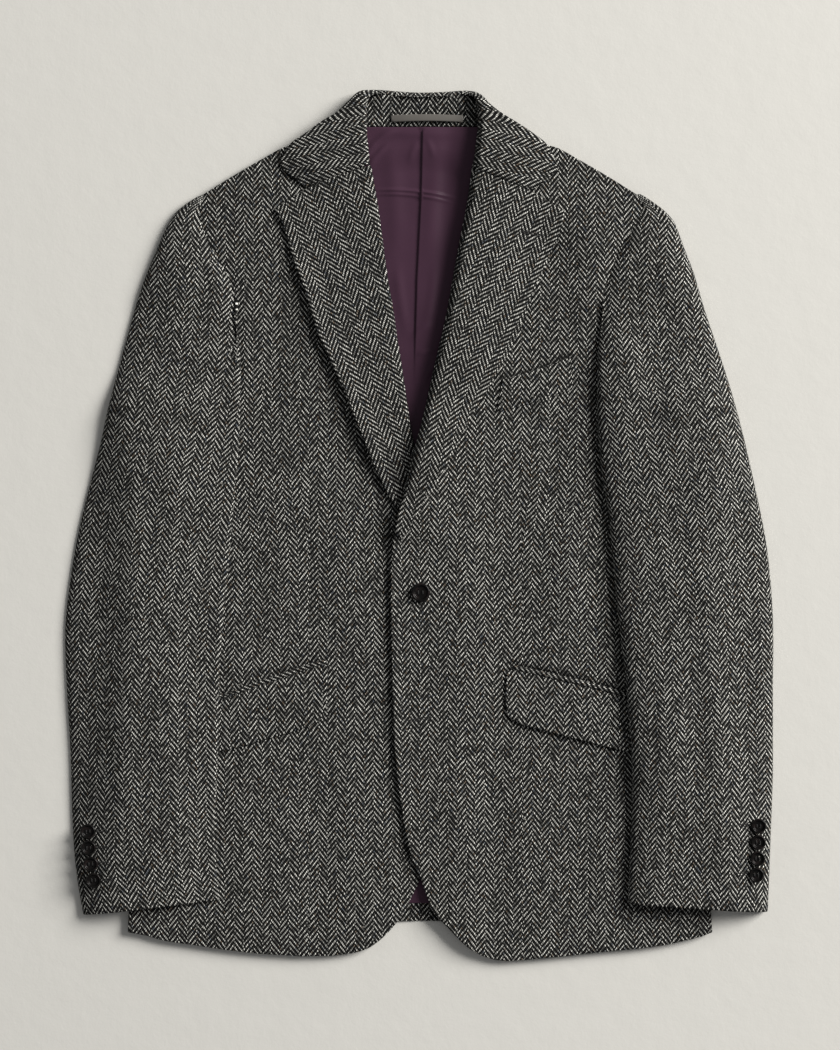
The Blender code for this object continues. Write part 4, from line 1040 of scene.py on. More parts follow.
def collar_section(row):
    """Outer path of the collar at one station: roll, leaf, turned edge and fall."""
    roll, out = np.array([row.roll_x, row.roll_y]), np.array([row.out_x, row.out_y])
    edge = np.array([row.edge_x, row.edge_y])
    wrap, drop = float(np.clip(row.wrap, 0.0, 1.0)), float(max(row.inner_drop, 0.0))
    turn = min(1.0, wrap * 3.0)
    rounding = COLLAR_EDGE * turn
    span = float(np.hypot(*(out - roll)))
    way = (out - roll) / span
    reach = span - rounding
    first = min(ROLL_TURNS[0] if roll[0] < 0.0 else ROLL_TURNS[1], reach * 0.45)
    angle = np.linspace(0.0, pi / 2, 12)
    p = roll + way * (first * (1.0 - np.cos(angle)))[:, None]
    sprung = cloth_size("low_roll_lift" if roll[0] < 0.0 else "roll_lift")
    lift = sprung * min(drop / LEAF_DROP, 1.0)
    fall = (drop + 1.6 * min(drop / LEAF_DROP, 1.0) + lift) * (1.0 - np.sin(angle))
    path = [np.stack([p[:, 0], p[:, 1],
                      collar_height(p[:, 0], p[:, 1]) - fall + lift], axis=1)]
    t = np.linspace(0.0, 1.0, 30)[1:]
    p = roll + way * (first + (reach - first) * t)[:, None]
    radius = cloth_size("roll_radius")
    spring = lift * fade(radius, radius + LIFT_FADES, first + (reach - first) * t)
    spring -= LEAF_THINS * (1.0 - turn) * blend(0.7, 1.0, t)
    path.append(np.stack([p[:, 0], p[:, 1], collar_height(p[:, 0], p[:, 1]) + spring], axis=1))
    if wrap > 0.0:
        back = (edge - out) / max(float(np.hypot(*(edge - out))), 1e-9)
        top = float(path[-1][-1, 2])
        angle = pi * np.arange(1, 17) / 16
        side = np.where(angle[:, None] < pi / 2, way, -back)
        p = out - side * (rounding * (1.0 - np.sin(angle)))[:, None]
        under = [np.column_stack([p, top / 2 * (1.0 + np.cos(angle))])]
        start = out + back * rounding
        p = start + (edge - start) * np.linspace(0.1, 1.0, 10)[:, None]
        under.append(np.column_stack([p, np.zeros(10)]))
        under = np.vstack(under)
        path.append(under[:max(2, round(len(under) * wrap))])
    return spaced_path(np.vstack(path), COLLAR_COLUMNS)


def build_collar(cloth):
    """The collar leaf in front, running into the fall beneath the back of the neck."""
    stations = smooth_rows(COLLAR, 7)
    grid = np.array([collar_section(CollarRow(*row)) for row in stations])
    run, along = run_along(grid[:, 0]), run_across(grid)
    uv = np.stack([np.broadcast_to(run[:, None] - run[-1] / 2, along.shape), along], axis=2)
    lean = radians(COLLAR_LEAN)
    for side in (-1.0, 1.0):
        beside = side * stations[:, 0] > 40.0
        start = int(np.argmin(np.where(beside, np.abs(stations[:, 1] - 392.0), np.inf)))
        x, y = side * grid[..., 0], grid[..., 1]
        out = x * cos(lean) - y * sin(lean)
        down = -x * sin(lean) - y * cos(lean)
        flat = np.stack([uv[start, 0, 0] + side * (down - down[start, 0]),
                         out - out[start, 0]], axis=2)
        share = (beside * fade(382.0, 400.0, stations[:, 1]))[:, None, None]
        uv = uv * (1.0 - share) + flat * share
    flat = 1.0 - np.clip(stations[:, 6] * 3.0, 0.0, 1.0)
    thin = flat[:, None] * blend(0.7, 1.0, np.linspace(0.0, 1.0, COLLAR_COLUMNS))[None, :]
    wall = cloth_size("collar_wall") - LEAF_THINS * thin
    bulge = np.ones(grid.shape[:2])
    bulge[[0, -1]] = 0.1
    bulge[:, 0] = 1.0 - bell(stations[:, 0], 44.0, 8) * (stations[:, 1] > 400.0)
    return shell("collar", grid, wall, -1.0, cloth, uv, bulge)


# -------------------------------------------------------------- body and trim
def joined(*parts, passes=0):
    """One closed outline from open lines, each smoothed on its own."""
    out = []
    for part in parts:
        line = smooth_line(part, LINE_STEP, passes=passes)
        if out and np.hypot(*(out[-1][-1] - line[0])) < 0.4:
            line = line[1:]
        out.append(line)
    ring = np.vstack(out)
    keep = np.linalg.norm(ring - np.roll(ring, 1, axis=0), axis=1) > 0.05
    ring = ring[keep]
    filled = []
    for a, b in zip(ring, np.roll(ring, -1, axis=0)):
        parts = max(1, ceil(np.hypot(*(b - a)) / 3.2))
        filled += [a + (b - a) * k / parts for k in range(parts)]
    return np.array(filled)


HIDDEN_PITCH = 11.0        # point spacing where hardly any of a panel shows
NECK_PITCH, HEM_PITCH = 1.3, 2.6       # point spacing where the lining shows
PLEAT_HEIGHT = 1.7         # step of the lining at its centre pleat
FREE_EDGE = 8              # the upper front's cutaway stands off from this point up
LAP_SPRING, LAP_WIDTH = 1.5, 9.0       # how far it stands off, and over what width
DART_GROOVE = ((0.75, 1.3), (-0.35, 6.0))    # depth and half width, groove and rise beside it
DART_LINES = (1.3, -1.3, 3.0, -3.0)    # mesh lines beside a dart
DART_SHIFT_Y = (-40.0, 60.0)           # the dart takes in its whole intake below this stretch
ARMHOLE_DEPTH, ARMHOLE_WIDTH = 0.6, 3.2    # of the groove along an armhole's seam
SLOT_DEPTH, SLOT_WIDTH, SLOT_SHADE = 1.3, 1.0, 1.5    # depth and width of a pocket's slot, and the width of the shade painted along it
SLOT_LINES = (0.0, 0.9, -0.9, 1.5, -1.5)   # mesh lines along and beside a slot


def build_backs(cloth):
    """Left and right back, sewn at the centre and lying on the floor."""
    gap = cloth_size("seam_gap")
    wall = cloth_size("back_wall")
    centre = points((gap / 2, 374.0), (gap / 2, 300.0), (gap / 2, -376.0))
    hem = points((gap / 2, -377.0), (70.0, -379.0), (150.0, -382.0), (230.0, -385.5), SIDE[0])
    made = []
    for name, side in (("back_right", 1), ("back_left", -1)):
        rim = joined(hem, SIDE, BACK_ARMHOLE, SHOULDER, BACK_NECK[::-1], centre, passes=8)
        rim = rim * np.array([side, 1.0])
        made.append(laid_panel(name, rim, raised(neck_rise, wall), neck_rise, cloth,
                               pitch=HIDDEN_PITCH))
    return made


def lining_relief(x, y):
    """Folds of the lining where it shows, in the neck and at the hem."""
    line = np.array(LINING_PLEAT)[::-1]
    pleat_x = np.interp(y, line[:, 1], line[:, 0])
    pleat = PLEAT_HEIGHT * blend(-0.9, 0.5, x - pleat_x) * fade(4.0, 30.0, x - pleat_x)
    return pleat * blend(120.0, 200.0, y) + folded(LINING_FOLDS, x, y)


def build_lining(satin):
    """Back lining, showing in the neck and below the cutaway."""
    base = cloth_size("back_wall") + cloth_size("seam_gap")
    wall = cloth_size("lining_wall")
    neck = points((-66.0, 386.0), (66.0, 386.0), (60.0, 300.0), (26.0, 150.0), (6.0, 60.0),
                  (-10.0, 60.0), (-26.0, 150.0), (-60.0, 300.0))
    hem = points((-50.0, -366.0), (50.0, -366.0), (30.0, -320.0), (-20.0, -320.0))
    pleat = smooth_line(LINING_PLEAT, 4.0)
    return laid_panel("lining_back", joined(looped(LINING_OUTLINE)),
                      lambda x, y: base + neck_rise(x, y) + wall + lining_relief(x, y),
                      lambda x, y: base + neck_rise(x, y), satin, pitch=HIDDEN_PITCH,
                      lines=[moved_in(pleat, off) for off in (0.9, 0.2, -0.5, -1.2)],
                      fine=((NECK_PITCH, neck), (HEM_PITCH, hem)))


def paint_slot_shade(panel, mouths):
    """Store a painted shade on each point of a front: full at a pocket's slot, fading away from
    it, and weaker at the jets than at the welt. The cloth is darkened there in place of the shadow
    in the pocket mouth.
    """
    places = np.empty(len(panel.data.vertices) * 3)
    panel.data.vertices.foreach_get("co", places)
    x, y = (places.reshape(-1, 3)[:, :2] / MM + np.array(MIDDLE)).T
    near = np.min([distance(line, x, y) for line in mouths], axis=0)
    # Painted shade: a band along each slot, full above the welt and weaker above the jets.
    shade = np.where(y > 0.0, 1.0, 0.45) * bell(near, SLOT_SHADE)
    slot = panel.data.attributes.new("Slot", "FLOAT", "POINT")
    slot.data.foreach_set("value", shade)


def build_fronts(cloth):
    """The upper front on the right and the lower front on the left, with their darts."""
    clearance = cloth_size("roll_radius") - 1.2
    turn_over = blend(15.0, 70.0, np.array([p.y for p in OVER_ROLL]))
    turn_under = blend(15.0, 70.0, np.array([p.y for p in UNDER_ROLL]))
    over_roll = moved_in(OVER_ROLL, -clearance * turn_over)
    under_roll = moved_in(UNDER_ROLL, clearance * turn_under)
    over = joined(OVER_CUTAWAY, over_roll, OVER_NECK, SHOULDER[::-1], RIGHT_ARMHOLE[::-1],
                  SIDE[::-1], OVER_HEM[::-1], passes=9)
    under = joined(UNDER_CUTAWAY, under_roll, UNDER_NECK, mirrored(SHOULDER),
                   mirrored(LEFT_ARMHOLE), mirrored(SIDE), UNDER_HEM[::-1], passes=9)
    made = []
    for name, rim, upper, side in (("front_right", over, True, 1.0),
                                   ("front_left", under, False, -1.0)):
        dart = smooth_line(DARTS[name[6:]], 4.0)
        armhole = ARMHOLES[name[6:]]
        mouths = [smooth_line(line, 2.5) for line in MOUTHS[name[6:]]]

        def under_face(x, y):
            """Underside, standing off a little along the lapping edge."""
            lift = 0.0
            if upper:
                lift = LAP_SPRING * bell(distance(OVER_CUTAWAY[FREE_EDGE:], x, y), LAP_WIDTH)
                lift = lift * blend(-330.0, -290.0, y)
            return front_under(x, y, upper) + lift

        def top_face(x, y):
            """Top, with the dart, the armhole seam and the pocket slots pressed into it."""
            near = distance(dart, x, y)
            ends = blend(-142.0, -120.0, y) * fade(34.0, 66.0, y)
            groove = sum(depth * bell(near, width) for depth, width in DART_GROOVE)
            seam = ARMHOLE_DEPTH * bell(distance(armhole, x, y), ARMHOLE_WIDTH)
            slot = np.min([distance(line, x, y) for line in mouths], axis=0)
            pressed = groove * ends + seam + SLOT_DEPTH * bell(slot, SLOT_WIDTH, 4)
            return under_face(x, y) + cloth_size("front_wall") - pressed

        def jump(x, y):
            """How far the grain is shifted outside the dart, in mm."""
            beyond = side * (x - np.interp(y, dart[::-1, 1], dart[::-1, 0])) > 0.0
            return np.where(beyond, side * DART_INTAKE * fade(*DART_SHIFT_Y, y), 0.0)

        lines = [dart] + [moved_in(dart, off) for off in DART_LINES]
        for line in mouths:
            lines += [moved_in(line, off) for off in SLOT_LINES]
        panel = laid_panel(name, rim, top_face, under_face, cloth, lines=lines, split=jump,
                           sewn=armhole)
        # Painted shade along the pocket slots, stored on the front's points for its cloth.
        paint_slot_shade(panel, mouths)
        made.append(panel)
    return made


class Leaf(NamedTuple):
    """A lapel leaf."""
    name: str
    roll: list
    outline: list
    upper: bool            # lies on the front that laps over
    lean: tuple            # degrees of its columns near the gorge and at the button
    edge_rise: float       # how far its free edge stands off the front
    spring: str            # setting of its spring beside the roll
    turn: float            # share of the roll radius that it turns in


LEAVES = (
    Leaf("lapel_right", OVER_ROLL, OVER_LAPEL, True, (25.0, 9.0), 0.5, "roll_lift", 1.0),
    Leaf("lapel_left", UNDER_ROLL, UNDER_LAPEL, False, (-20.5, -20.5), 3.4, "low_roll_lift", 0.5))


def lapel_under(leaf, roll, free, x, y):
    """Underside of a leaf: turned down along the roll, springing up beside it."""
    radius, lift = leaf.turn * cloth_size("roll_radius"), cloth_size(leaf.spring)
    gap = cloth_size("lapel_gap")
    away = distance(roll, x, y)
    turned_over = blend(15.0, 70.0, y)
    drop = (cloth_size("front_wall") + gap + lift) * turned_over
    spring = lift * turned_over * fade(radius, radius + LIFT_FADES, away)
    edge = leaf.edge_rise * bell(distance(free, x, y), 13.0)
    edge = edge * blend(14.0, 80.0, y) * fade(215.0, 292.0, y)
    share = np.minimum(away / radius, 1.0)
    return (front_top(x, y, leaf.upper) + gap + spring + edge
            - drop * (1.0 - np.sqrt(1.0 - (1.0 - share) ** 2)))


def build_lapels(cloth):
    """Lapel leaves lying on their fronts, with a soft roll along the fold."""
    made = []
    for leaf in LEAVES:
        under = partial(lapel_under, leaf, smooth_line(leaf.roll, 6.0),
                        smooth_line(leaf.outline[4:], 6.0))
        side = -1.0 if leaf.upper else 1.0
        lines = [smooth_line(moved_in(leaf.roll, side * out), 5.0)
                 for out in (3.6, 5.4, 7.4, 10.0)]
        made.append(laid_panel(leaf.name, joined(leaf.roll, leaf.outline, passes=14),
                               raised(under, cloth_size("lapel_wall")), under, cloth,
                               pitch=4.0, grain=leaning(*leaf.lean), lines=lines,
                               sewn=leaf.outline[1:4]))
    return made


class Trim(NamedTuple):
    """A pocket piece sewn to a front."""
    name: str
    outline: list
    upper: bool            # lies on the front that laps over
    sag: float             # how far a flap's lower edge stands off the front
    sewn: list             # the line that it is sewn down along
    flat: float            # share of its wall that is pressed away there
    cord: float            # height of a jet's round
    pitch: float           # point spacing
    grain: tuple           # a place in a column's middle, and the columns' turn in degrees


TRIMS = (
    Trim("flap_right", RIGHT_FLAP, True, 1.0, RIGHT_FLAP[8:], 0.5, 0.0, 4.0, (0.0, 2.6, 0.0)),
    Trim("flap_left", LEFT_FLAP, False, 0.2, LEFT_FLAP[8:], 0.5, 0.0, 4.0, (0.0, 2.6, 0.0)),
    Trim("jet_right", RIGHT_JET, True, 0.0, RIGHT_JET, 0.8, 2.0, 1.2, (87.0, -135.0, 103.4)),
    Trim("jet_left", LEFT_JET, False, 0.0, LEFT_JET, 0.8, 2.0, 1.2, (-90.0, -130.4, 73.8)),
    Trim("chest_welt", CHEST_WELT, True, 0.0, CHEST_WELT[7:] + CHEST_WELT[:5], 0.6, 0.0, 4.0,
         (3.4, 1.8, 0.0)))
JET_HALF = 2.3             # half the width of a jet's round
STAND_RISE = 3.2           # of the stand's top edge
LOOP = (6.8, 386.8)        # middle of the hanger loop
LOOP_ARCH, LOOP_SPAN = 2.4, 33.0       # its rise, and half the length between its ends


def trim_under(trim, x, y):
    """Underside of a pocket piece, standing off the front towards a flap's lower edge."""
    lower_edge = np.interp(np.abs(x), (84.0, 230.0), (-186.0, -219.0))
    return front_top(x, y, trim.upper) + 0.25 + trim.sag * fade(0.0, 30.0, y - lower_edge)


def trim_top(trim, x, y):
    """Top of a pocket piece, thinner where it is sewn down, and rounded up on a jet."""
    away = distance(trim.sewn, x, y)
    thin = trim.flat * fade(0.0, 9.0, away)
    cord = trim.cord * np.sqrt(np.clip(1.0 - (1.0 - away / JET_HALF) ** 2, 0.0, 1.0))
    return trim_under(trim, x, y) + cloth_size("trim_wall") * (1.0 - thin) + cord


def build_trim(cloth, tape):
    """Pocket flaps, jets, chest welt, collar stand and hanger loop."""
    made = [laid_panel(trim.name, joined(looped(trim.outline), passes=3),
                       partial(trim_top, trim), partial(trim_under, trim), cloth,
                       pitch=trim.pitch, grain=turned(*trim.grain)) for trim in TRIMS]
    stand = cloth_size("collar_wall")
    base = stand + cloth_size("seam_gap")

    def stand_under(x, y):
        """Underside of the stand, up to the collar's roll along its top edge."""
        return base + STAND_RISE * blend(388.0, 406.5, y) * fade(36.0, 50.0, np.abs(x))

    made.append(laid_panel("collar_stand", joined(looped(STAND_OUTLINE)),
                           raised(stand_under, stand), stand_under, cloth, pitch=3.0,
                           sewn=STAND_OUTLINE[7:13]))

    def arch(x, y):
        """Underside of the loop, standing off the collar stand between its ends."""
        rise = LOOP_ARCH * np.clip(1.0 - ((x - LOOP[0]) / LOOP_SPAN) ** 2, 0.0, 1.0)
        return base + stand + 0.9 + rise

    def loop_top(x, y):
        """Top of the loop, a little rounded across."""
        return arch(x, y) + 1.2 + 0.5 * np.sqrt(
            np.clip(1.0 - ((y - LOOP[1]) / 3.5) ** 2, 0.0, 1.0))

    made.append(laid_panel("hanger_loop", joined(looped(LOOP_OUTLINE)), loop_top,
                           arch, tape, pitch=1.3))
    return made


# ---------------------------------------------------------- buttons and sewing
FRONT_BUTTON = Point(0.6, -64.0)
CUFF_BUTTONS = {
    "left": points((-309.4, -337.0), (-312.2, -321.6), (-314.3, -306.2), (-315.0, -290.8)),
    "right": points((318.6, -331.4), (319.8, -316.0), (320.6, -300.6), (321.0, -285.2))}


# Half section of a button, from its foot over the rim to the dish: shares of radius and height.
PROFILE = ((0.70, 0.0), (0.86, 0.10), (0.97, 0.30), (1.0, 0.52), (0.985, 0.74), (0.93, 0.92),
           (0.85, 1.0), (0.78, 0.96), (0.72, 0.78), (0.66, 0.55), (0.60, 0.46))
DISH = PROFILE[-1][0]
BUTTON_POINTS, HOLE_POINTS = 56, 14    # points round the button and round each hole
HOLES_OUT = 0.2375         # how far out the holes are both ways, as a share of the radius


def build_button(name, centre, z, diameter, horn):
    """A turned button with a raised rim and four thread holes."""
    radius, height = diameter / 2, size("jacket_trim", "button_height")
    around, dish = BUTTON_POINTS, DISH * radius
    turn = 2 * pi * np.arange(around) / around
    ring = np.stack([np.cos(turn), np.sin(turn)], axis=1)
    hole = size("jacket_trim", "hole") / 2 * min(1.0, diameter / 16.0)
    spread = HOLES_OUT * radius
    small = 2 * pi * np.arange(HOLE_POINTS) / HOLE_POINTS
    rim = hole * np.stack([np.cos(small), np.sin(small)], axis=1)
    centres = [np.array([x, y]) for x in (-spread, spread) for y in (-spread, spread)]
    plan, edges = [ring * dish], [(i, (i + 1) % around) for i in range(around)]
    for middle in centres:
        at = sum(len(p) for p in plan)
        plan.append(middle + rim)
        edges += [(at + i, at + (i + 1) % HOLE_POINTS) for i in range(HOLE_POINTS)]
    grid = np.array([(x, y) for x in np.linspace(-dish, dish, 15)
                     for y in np.linspace(-dish, dish, 15)])
    clear = np.hypot(grid[:, 0], grid[:, 1]) < dish * 0.9
    for middle in centres:
        clear &= np.hypot(*(grid - middle).T) > hole * 1.35
    plan = np.vstack(plan + [grid[clear]])
    flat, _, cells, *_ = delaunay_2d_cdt([Vector(p) for p in plan], edges, [], 1, 1e-5)
    p = np.array([(q.x, q.y) for q in flat])
    cells = [c for c in cells
             if all(np.hypot(*(p[list(c)].mean(axis=0) - m)) > hole * 0.9 for m in centres)]
    sunk = PROFILE[-1][1] - 0.06 * np.clip(1.0 - (np.hypot(*p.T) / dish) ** 2, 0.0, 1.0)
    n = len(p)
    verts = [np.column_stack([p, sunk * height]), np.column_stack([p, 0.0 * sunk])]
    faces = [tuple(c) for c in cells] + [tuple(i + n for i in reversed(c)) for c in cells]
    used = {(a, b) for c in cells for a, b in zip(c, list(c[1:]) + [c[0]])}
    open_edges = [(a, b) for a, b in sorted(used) if (b, a) not in used]
    outer = {i for i in range(n) if np.hypot(*p[i]) > dish * 0.999}
    faces += [(b, a, a + n, b + n) for a, b in open_edges
              if not (a in outer and b in outer)]
    base = 2 * n
    for share, up in PROFILE[:-1]:
        verts.append(np.column_stack([ring * radius * share, np.full(around, up * height)]))
    rims = len(PROFILE) - 1
    order = sorted(outer, key=lambda i: np.arctan2(p[i][1], p[i][0]) % (2 * pi))
    for k in range(around):
        nxt = (k + 1) % around
        faces.append((order[k] + n, order[nxt] + n, base + nxt, base + k))
        for r in range(rims - 1):
            a = base + r * around
            faces.append((a + k, a + nxt, a + around + nxt, a + around + k))
        a = base + (rims - 1) * around
        faces.append((a + k, a + nxt, order[nxt], order[k]))
    v = np.vstack(verts) + np.array([centre.x, centre.y, z])
    made = add_mesh(name, in_metres(*v.T), faces, horn)
    made.data.set_sharp_from_angle(angle=0.9)
    return made


# A strand's shape: how far along it, and the share of its radius there.
STRAND = ((0.0, 0.3), (0.06, 0.8), (0.2, 1.0), (0.5, 1.05), (0.8, 1.0), (0.94, 0.8), (1.0, 0.3))
STRAND_SIDES = 6           # points round a strand


def capsule(start, end, radius, bow):
    """Points and faces of a short thread, bowed upwards, with rounded ends."""
    start, end = np.array(start, float), np.array(end, float)
    way = (end - start) / np.linalg.norm(end - start)
    side = np.cross(way, (0.0, 0.0, 1.0))
    side /= np.linalg.norm(side)
    up = np.cross(side, way)
    verts, faces = [], []
    for t, share in STRAND:
        middle = start + (end - start) * t + up * bow * 4.0 * t * (1.0 - t)
        for k in range(STRAND_SIDES):
            angle = 2 * pi * k / STRAND_SIDES
            verts.append(middle + radius * share * (side * cos(angle) + up * sin(angle)))
    last = (len(STRAND) - 1) * STRAND_SIDES
    for row in range(0, last, STRAND_SIDES):
        for k in range(STRAND_SIDES):
            a, b = row + k, row + (k + 1) % STRAND_SIDES
            faces.append((a, b, b + STRAND_SIDES, a + STRAND_SIDES))
    faces += [tuple(reversed(range(STRAND_SIDES))), tuple(range(last, last + STRAND_SIDES))]
    return verts, faces


def thread_mesh(name, strands, paint):
    """One piece from many short threads: start, end, radius and bow of each."""
    verts, faces = [], []
    for strand in strands:
        more, cells = capsule(*strand)
        faces += [tuple(i + len(verts) for i in c) for c in cells]
        verts += more
    v = np.array(verts)
    return add_mesh(name, in_metres(*v.T), faces, paint)


def button_threads(centre, z, diameter):
    """Strands that cross between a button's holes."""
    spread = HOLES_OUT * diameter / 2
    top = z + size("jacket_trim", "button_height") * 0.50
    out = []
    for way in (-1.0, 1.0):
        for off in (-0.28, 0.05, 0.34):
            x = centre.x + way * spread + off
            out.append(((x, centre.y - spread, top - 0.3), (x, centre.y + spread, top - 0.3),
                        0.2, 0.75))
    return out


# ------------------------------------------------------------------ materials
class Nodes:
    """Adds nodes to one tree and joins them."""

    def __init__(self, tree):
        self.tree = tree

    def node(self, kind, inputs=(), **settings):
        """A node with its settings and inputs, given by name or place."""
        made = self.tree.nodes.new(kind)
        for key, value in settings.items():
            setattr(made, key, value)
        for key, value in dict(inputs).items():
            self.put(made.inputs[key], value)
        return made

    def put(self, socket, value):
        """Link or set one input."""
        if isinstance(value, bpy.types.NodeSocket):
            self.tree.links.new(value, socket)
        else:
            socket.default_value = value


class Graph(Nodes):
    """Builds one shader graph, node by node."""

    def __init__(self, name):
        self.material = bpy.data.materials.new(name)
        self.material.use_nodes = True
        super().__init__(self.material.node_tree)

    def finish(self, inputs):
        """The material, once the inputs of its shader are put in."""
        shader = self.tree.nodes["Principled BSDF"]
        for key, value in inputs.items():
            self.put(shader.inputs[key], value)
        return self.material

    def math(self, operation, *values, clamp=False):
        """The result of a sum."""
        made = self.node("ShaderNodeMath", enumerate(values), operation=operation,
                         use_clamp=clamp)
        return made.outputs[0]

    def times(self, value, by):
        """A product."""
        return self.math("MULTIPLY", value, by)

    def scaled(self, value, by, plus):
        """A value scaled and moved."""
        return self.math("MULTIPLY_ADD", value, by, plus)

    def bump(self, strength, distance_up, height):
        """A normal that follows a height."""
        made = self.node("ShaderNodeBump", {"Strength": strength, "Distance": distance_up,
                                            "Height": height})
        return made.outputs[0]

    def shaded(self, colour_in, tone):
        """A colour made lighter or darker by a number."""
        return self.mix(1.0, colour_in, self.vector(tone, tone, tone), "MULTIPLY")

    def apart(self, value):
        """The three numbers of a vector."""
        return self.node("ShaderNodeSeparateXYZ", {0: value}).outputs

    def smooth(self, value, low, high):
        """A smooth step of a value."""
        made = self.node("ShaderNodeMapRange", {"Value": value, "From Min": low,
                                                "From Max": high},
                         interpolation_type="SMOOTHSTEP")
        return made.outputs["Result"]

    def mix(self, share, a, b, blend_type="MIX"):
        """A mix of two colours."""
        made = self.node("ShaderNodeMix", data_type="RGBA", blend_type=blend_type)
        self.put(made.inputs[0], share)
        self.put(made.inputs[6], a)
        self.put(made.inputs[7], b)
        return made.outputs[2]

    def noise(self, vector, scale, detail=2.0, rough=0.5):
        """Noise from 0 to 1."""
        made = self.node("ShaderNodeTexNoise", {"Vector": vector, "Scale": scale,
                                                "Detail": detail, "Roughness": rough})
        return made.outputs["Fac"]

    def vector(self, x, y, z=0.0):
        """A vector from three numbers."""
        return self.node("ShaderNodeCombineXYZ", enumerate((x, y, z))).outputs[0]


def rgba(value):
    """A colour with full opacity."""
    return (*value, 1.0)


def herringbone():
    """Woollen herringbone: light warp floats on dark weft, turning at each column."""
    weave = bpy.context.scene.jacket_weave
    g = Graph("herringbone_cloth")
    uv = g.node("ShaderNodeUVMap", uv_map="Cloth").outputs[0]
    wander = g.node("ShaderNodeTexNoise", {"Vector": uv, "Scale": 210.0, "Detail": 2.0})
    drift = g.node("ShaderNodeTexNoise", {"Vector": uv, "Scale": 17.0, "Detail": 1.0})
    parts, bend = g.apart(uv), g.apart(wander.outputs["Color"])
    slow = g.apart(drift.outputs["Color"])

    def warped(axis):
        """One cloth coordinate, bent a little as woven yarns are."""
        fine = g.scaled(bend[axis], 0.0011, -0.00055)
        wide = g.scaled(slow[axis], 0.0030, -0.0015)
        return g.math("ADD", g.math("ADD", parts[axis], fine), wide)

    end_width, pick = weave.column / weave.ends, weave.repeat / 4.0
    across = g.math("DIVIDE", warped(0), end_width)
    along = g.math("DIVIDE", warped(1), pick)
    end = g.math("FLOOR", across)
    column = g.math("FLOOR", g.math("DIVIDE", end, float(weave.ends)))
    odd = g.math("FLOORED_MODULO", column, 2.0)
    place = g.math("FLOORED_MODULO", end, float(weave.ends))
    sign = g.scaled(odd, -2.0, 1.0)
    step = g.math("ADD", g.times(place, sign), odd)
    phase = g.math("DIVIDE", g.math("SUBTRACT", along, step), 4.0)
    t = g.math("FRACT", phase)
    over = g.math("SINE", g.times(t, 2 * pi))
    ridge = g.math("SINE", g.times(g.math("FRACT", across), pi))
    weft_ridge = g.math("SINE", g.times(g.math("FRACT", along), pi))
    light_mask = g.times(g.smooth(over, 0.38, 0.88), g.smooth(ridge, 0.20, 0.84))
    float_id = g.vector(end, g.math("FLOOR", phase), 3.0)
    chance = g.node("ShaderNodeTexWhiteNoise", {"Vector": float_id})
    luck = g.node("ShaderNodeSeparateColor", {0: chance.outputs["Color"]})
    hair = g.noise(uv, 1500.0, 3.0, 0.65)
    lumps = g.noise(g.vector(g.times(parts[0], 3.0), parts[1]),
                    330.0, 2.0)
    streak = g.noise(g.vector(parts[0], g.times(parts[1], 0.05)),
                     150.0, 2.0)
    yarn = g.scaled(luck.outputs[0], 1.25, 0.12)
    yarn = g.times(yarn, g.scaled(lumps, 1.1, 0.45))
    light = g.shaded(rgba(weave.light), yarn)
    warm = g.smooth(luck.outputs[1], 0.955, 0.965)
    light = g.mix(g.times(warm, 0.8), light, rgba(weave.fleck_warm))
    cool = g.smooth(luck.outputs[2], 0.965, 0.975)
    light = g.mix(g.times(cool, 0.8), light, rgba(weave.fleck_cool))
    grey = g.scaled(g.smooth(hair, 0.50, 0.72), 3.2, 0.6)
    dark = g.shaded(rgba(weave.dark), grey)
    frayed = g.math("MULTIPLY", light_mask, g.smooth(hair, 0.18, 0.5), clamp=True)
    cloth = g.mix(frayed, dark, light)
    tone = g.scaled(streak, 0.36, 0.82)
    cloth = g.shaded(cloth, tone)
    # Painted shade: along the pocket slots the cloth is mixed towards the dark yarn, standing in
    # for the shadow in their mouths.
    slot = g.node("ShaderNodeAttribute", attribute_name="Slot").outputs["Fac"]
    cloth = g.mix(g.times(slot, 0.85), cloth, rgba(weave.dark))
    nep_seed = g.node("ShaderNodeTexVoronoi", {"Vector": uv, "Scale": 165.0})
    nep = g.times(g.smooth(nep_seed.outputs["Distance"], 0.13, 0.07),
                 g.smooth(nep_seed.outputs["Color"], 0.72, 0.76))
    cloth = g.mix(g.times(nep, 0.75), cloth, (0.42, 0.40, 0.35, 1.0))
    warp_high = g.times(g.smooth(over, -0.2, 0.9), ridge)
    weft_high = g.times(g.smooth(over, 0.2, -0.9), weft_ridge)
    height = g.math("ADD", g.math("ADD", warp_high, weft_high), g.times(hair, 0.9))
    return g.finish({"Base Color": cloth, "Normal": g.bump(0.55, weave.relief, height),
                     "Roughness": 0.96, "Specular IOR Level": 0.10,
                     "Sheen Weight": 0.035, "Sheen Roughness": 0.6})


def satin(name, base, roughness, rib):
    """A smooth warp-faced satin with a soft sheen."""
    g = Graph(name)
    uv = g.node("ShaderNodeUVMap", uv_map="Cloth").outputs[0]
    parts = g.apart(uv)
    fine = g.noise(g.vector(parts[0], g.times(parts[1], 0.12)),
                   2600.0, 2.0)
    cloudy = g.noise(uv, 28.0, 2.0)
    tone = g.scaled(cloudy, 0.22, 0.89)
    tone = g.times(tone, g.scaled(fine, 0.24, 0.88))
    return g.finish({"Base Color": g.shaded(rgba(base), tone),
                     "Normal": g.bump(rib, 0.00008, fine),
                     "Roughness": roughness, "Specular IOR Level": 0.16,
                     "Sheen Weight": 0.08, "Sheen Roughness": 0.4})


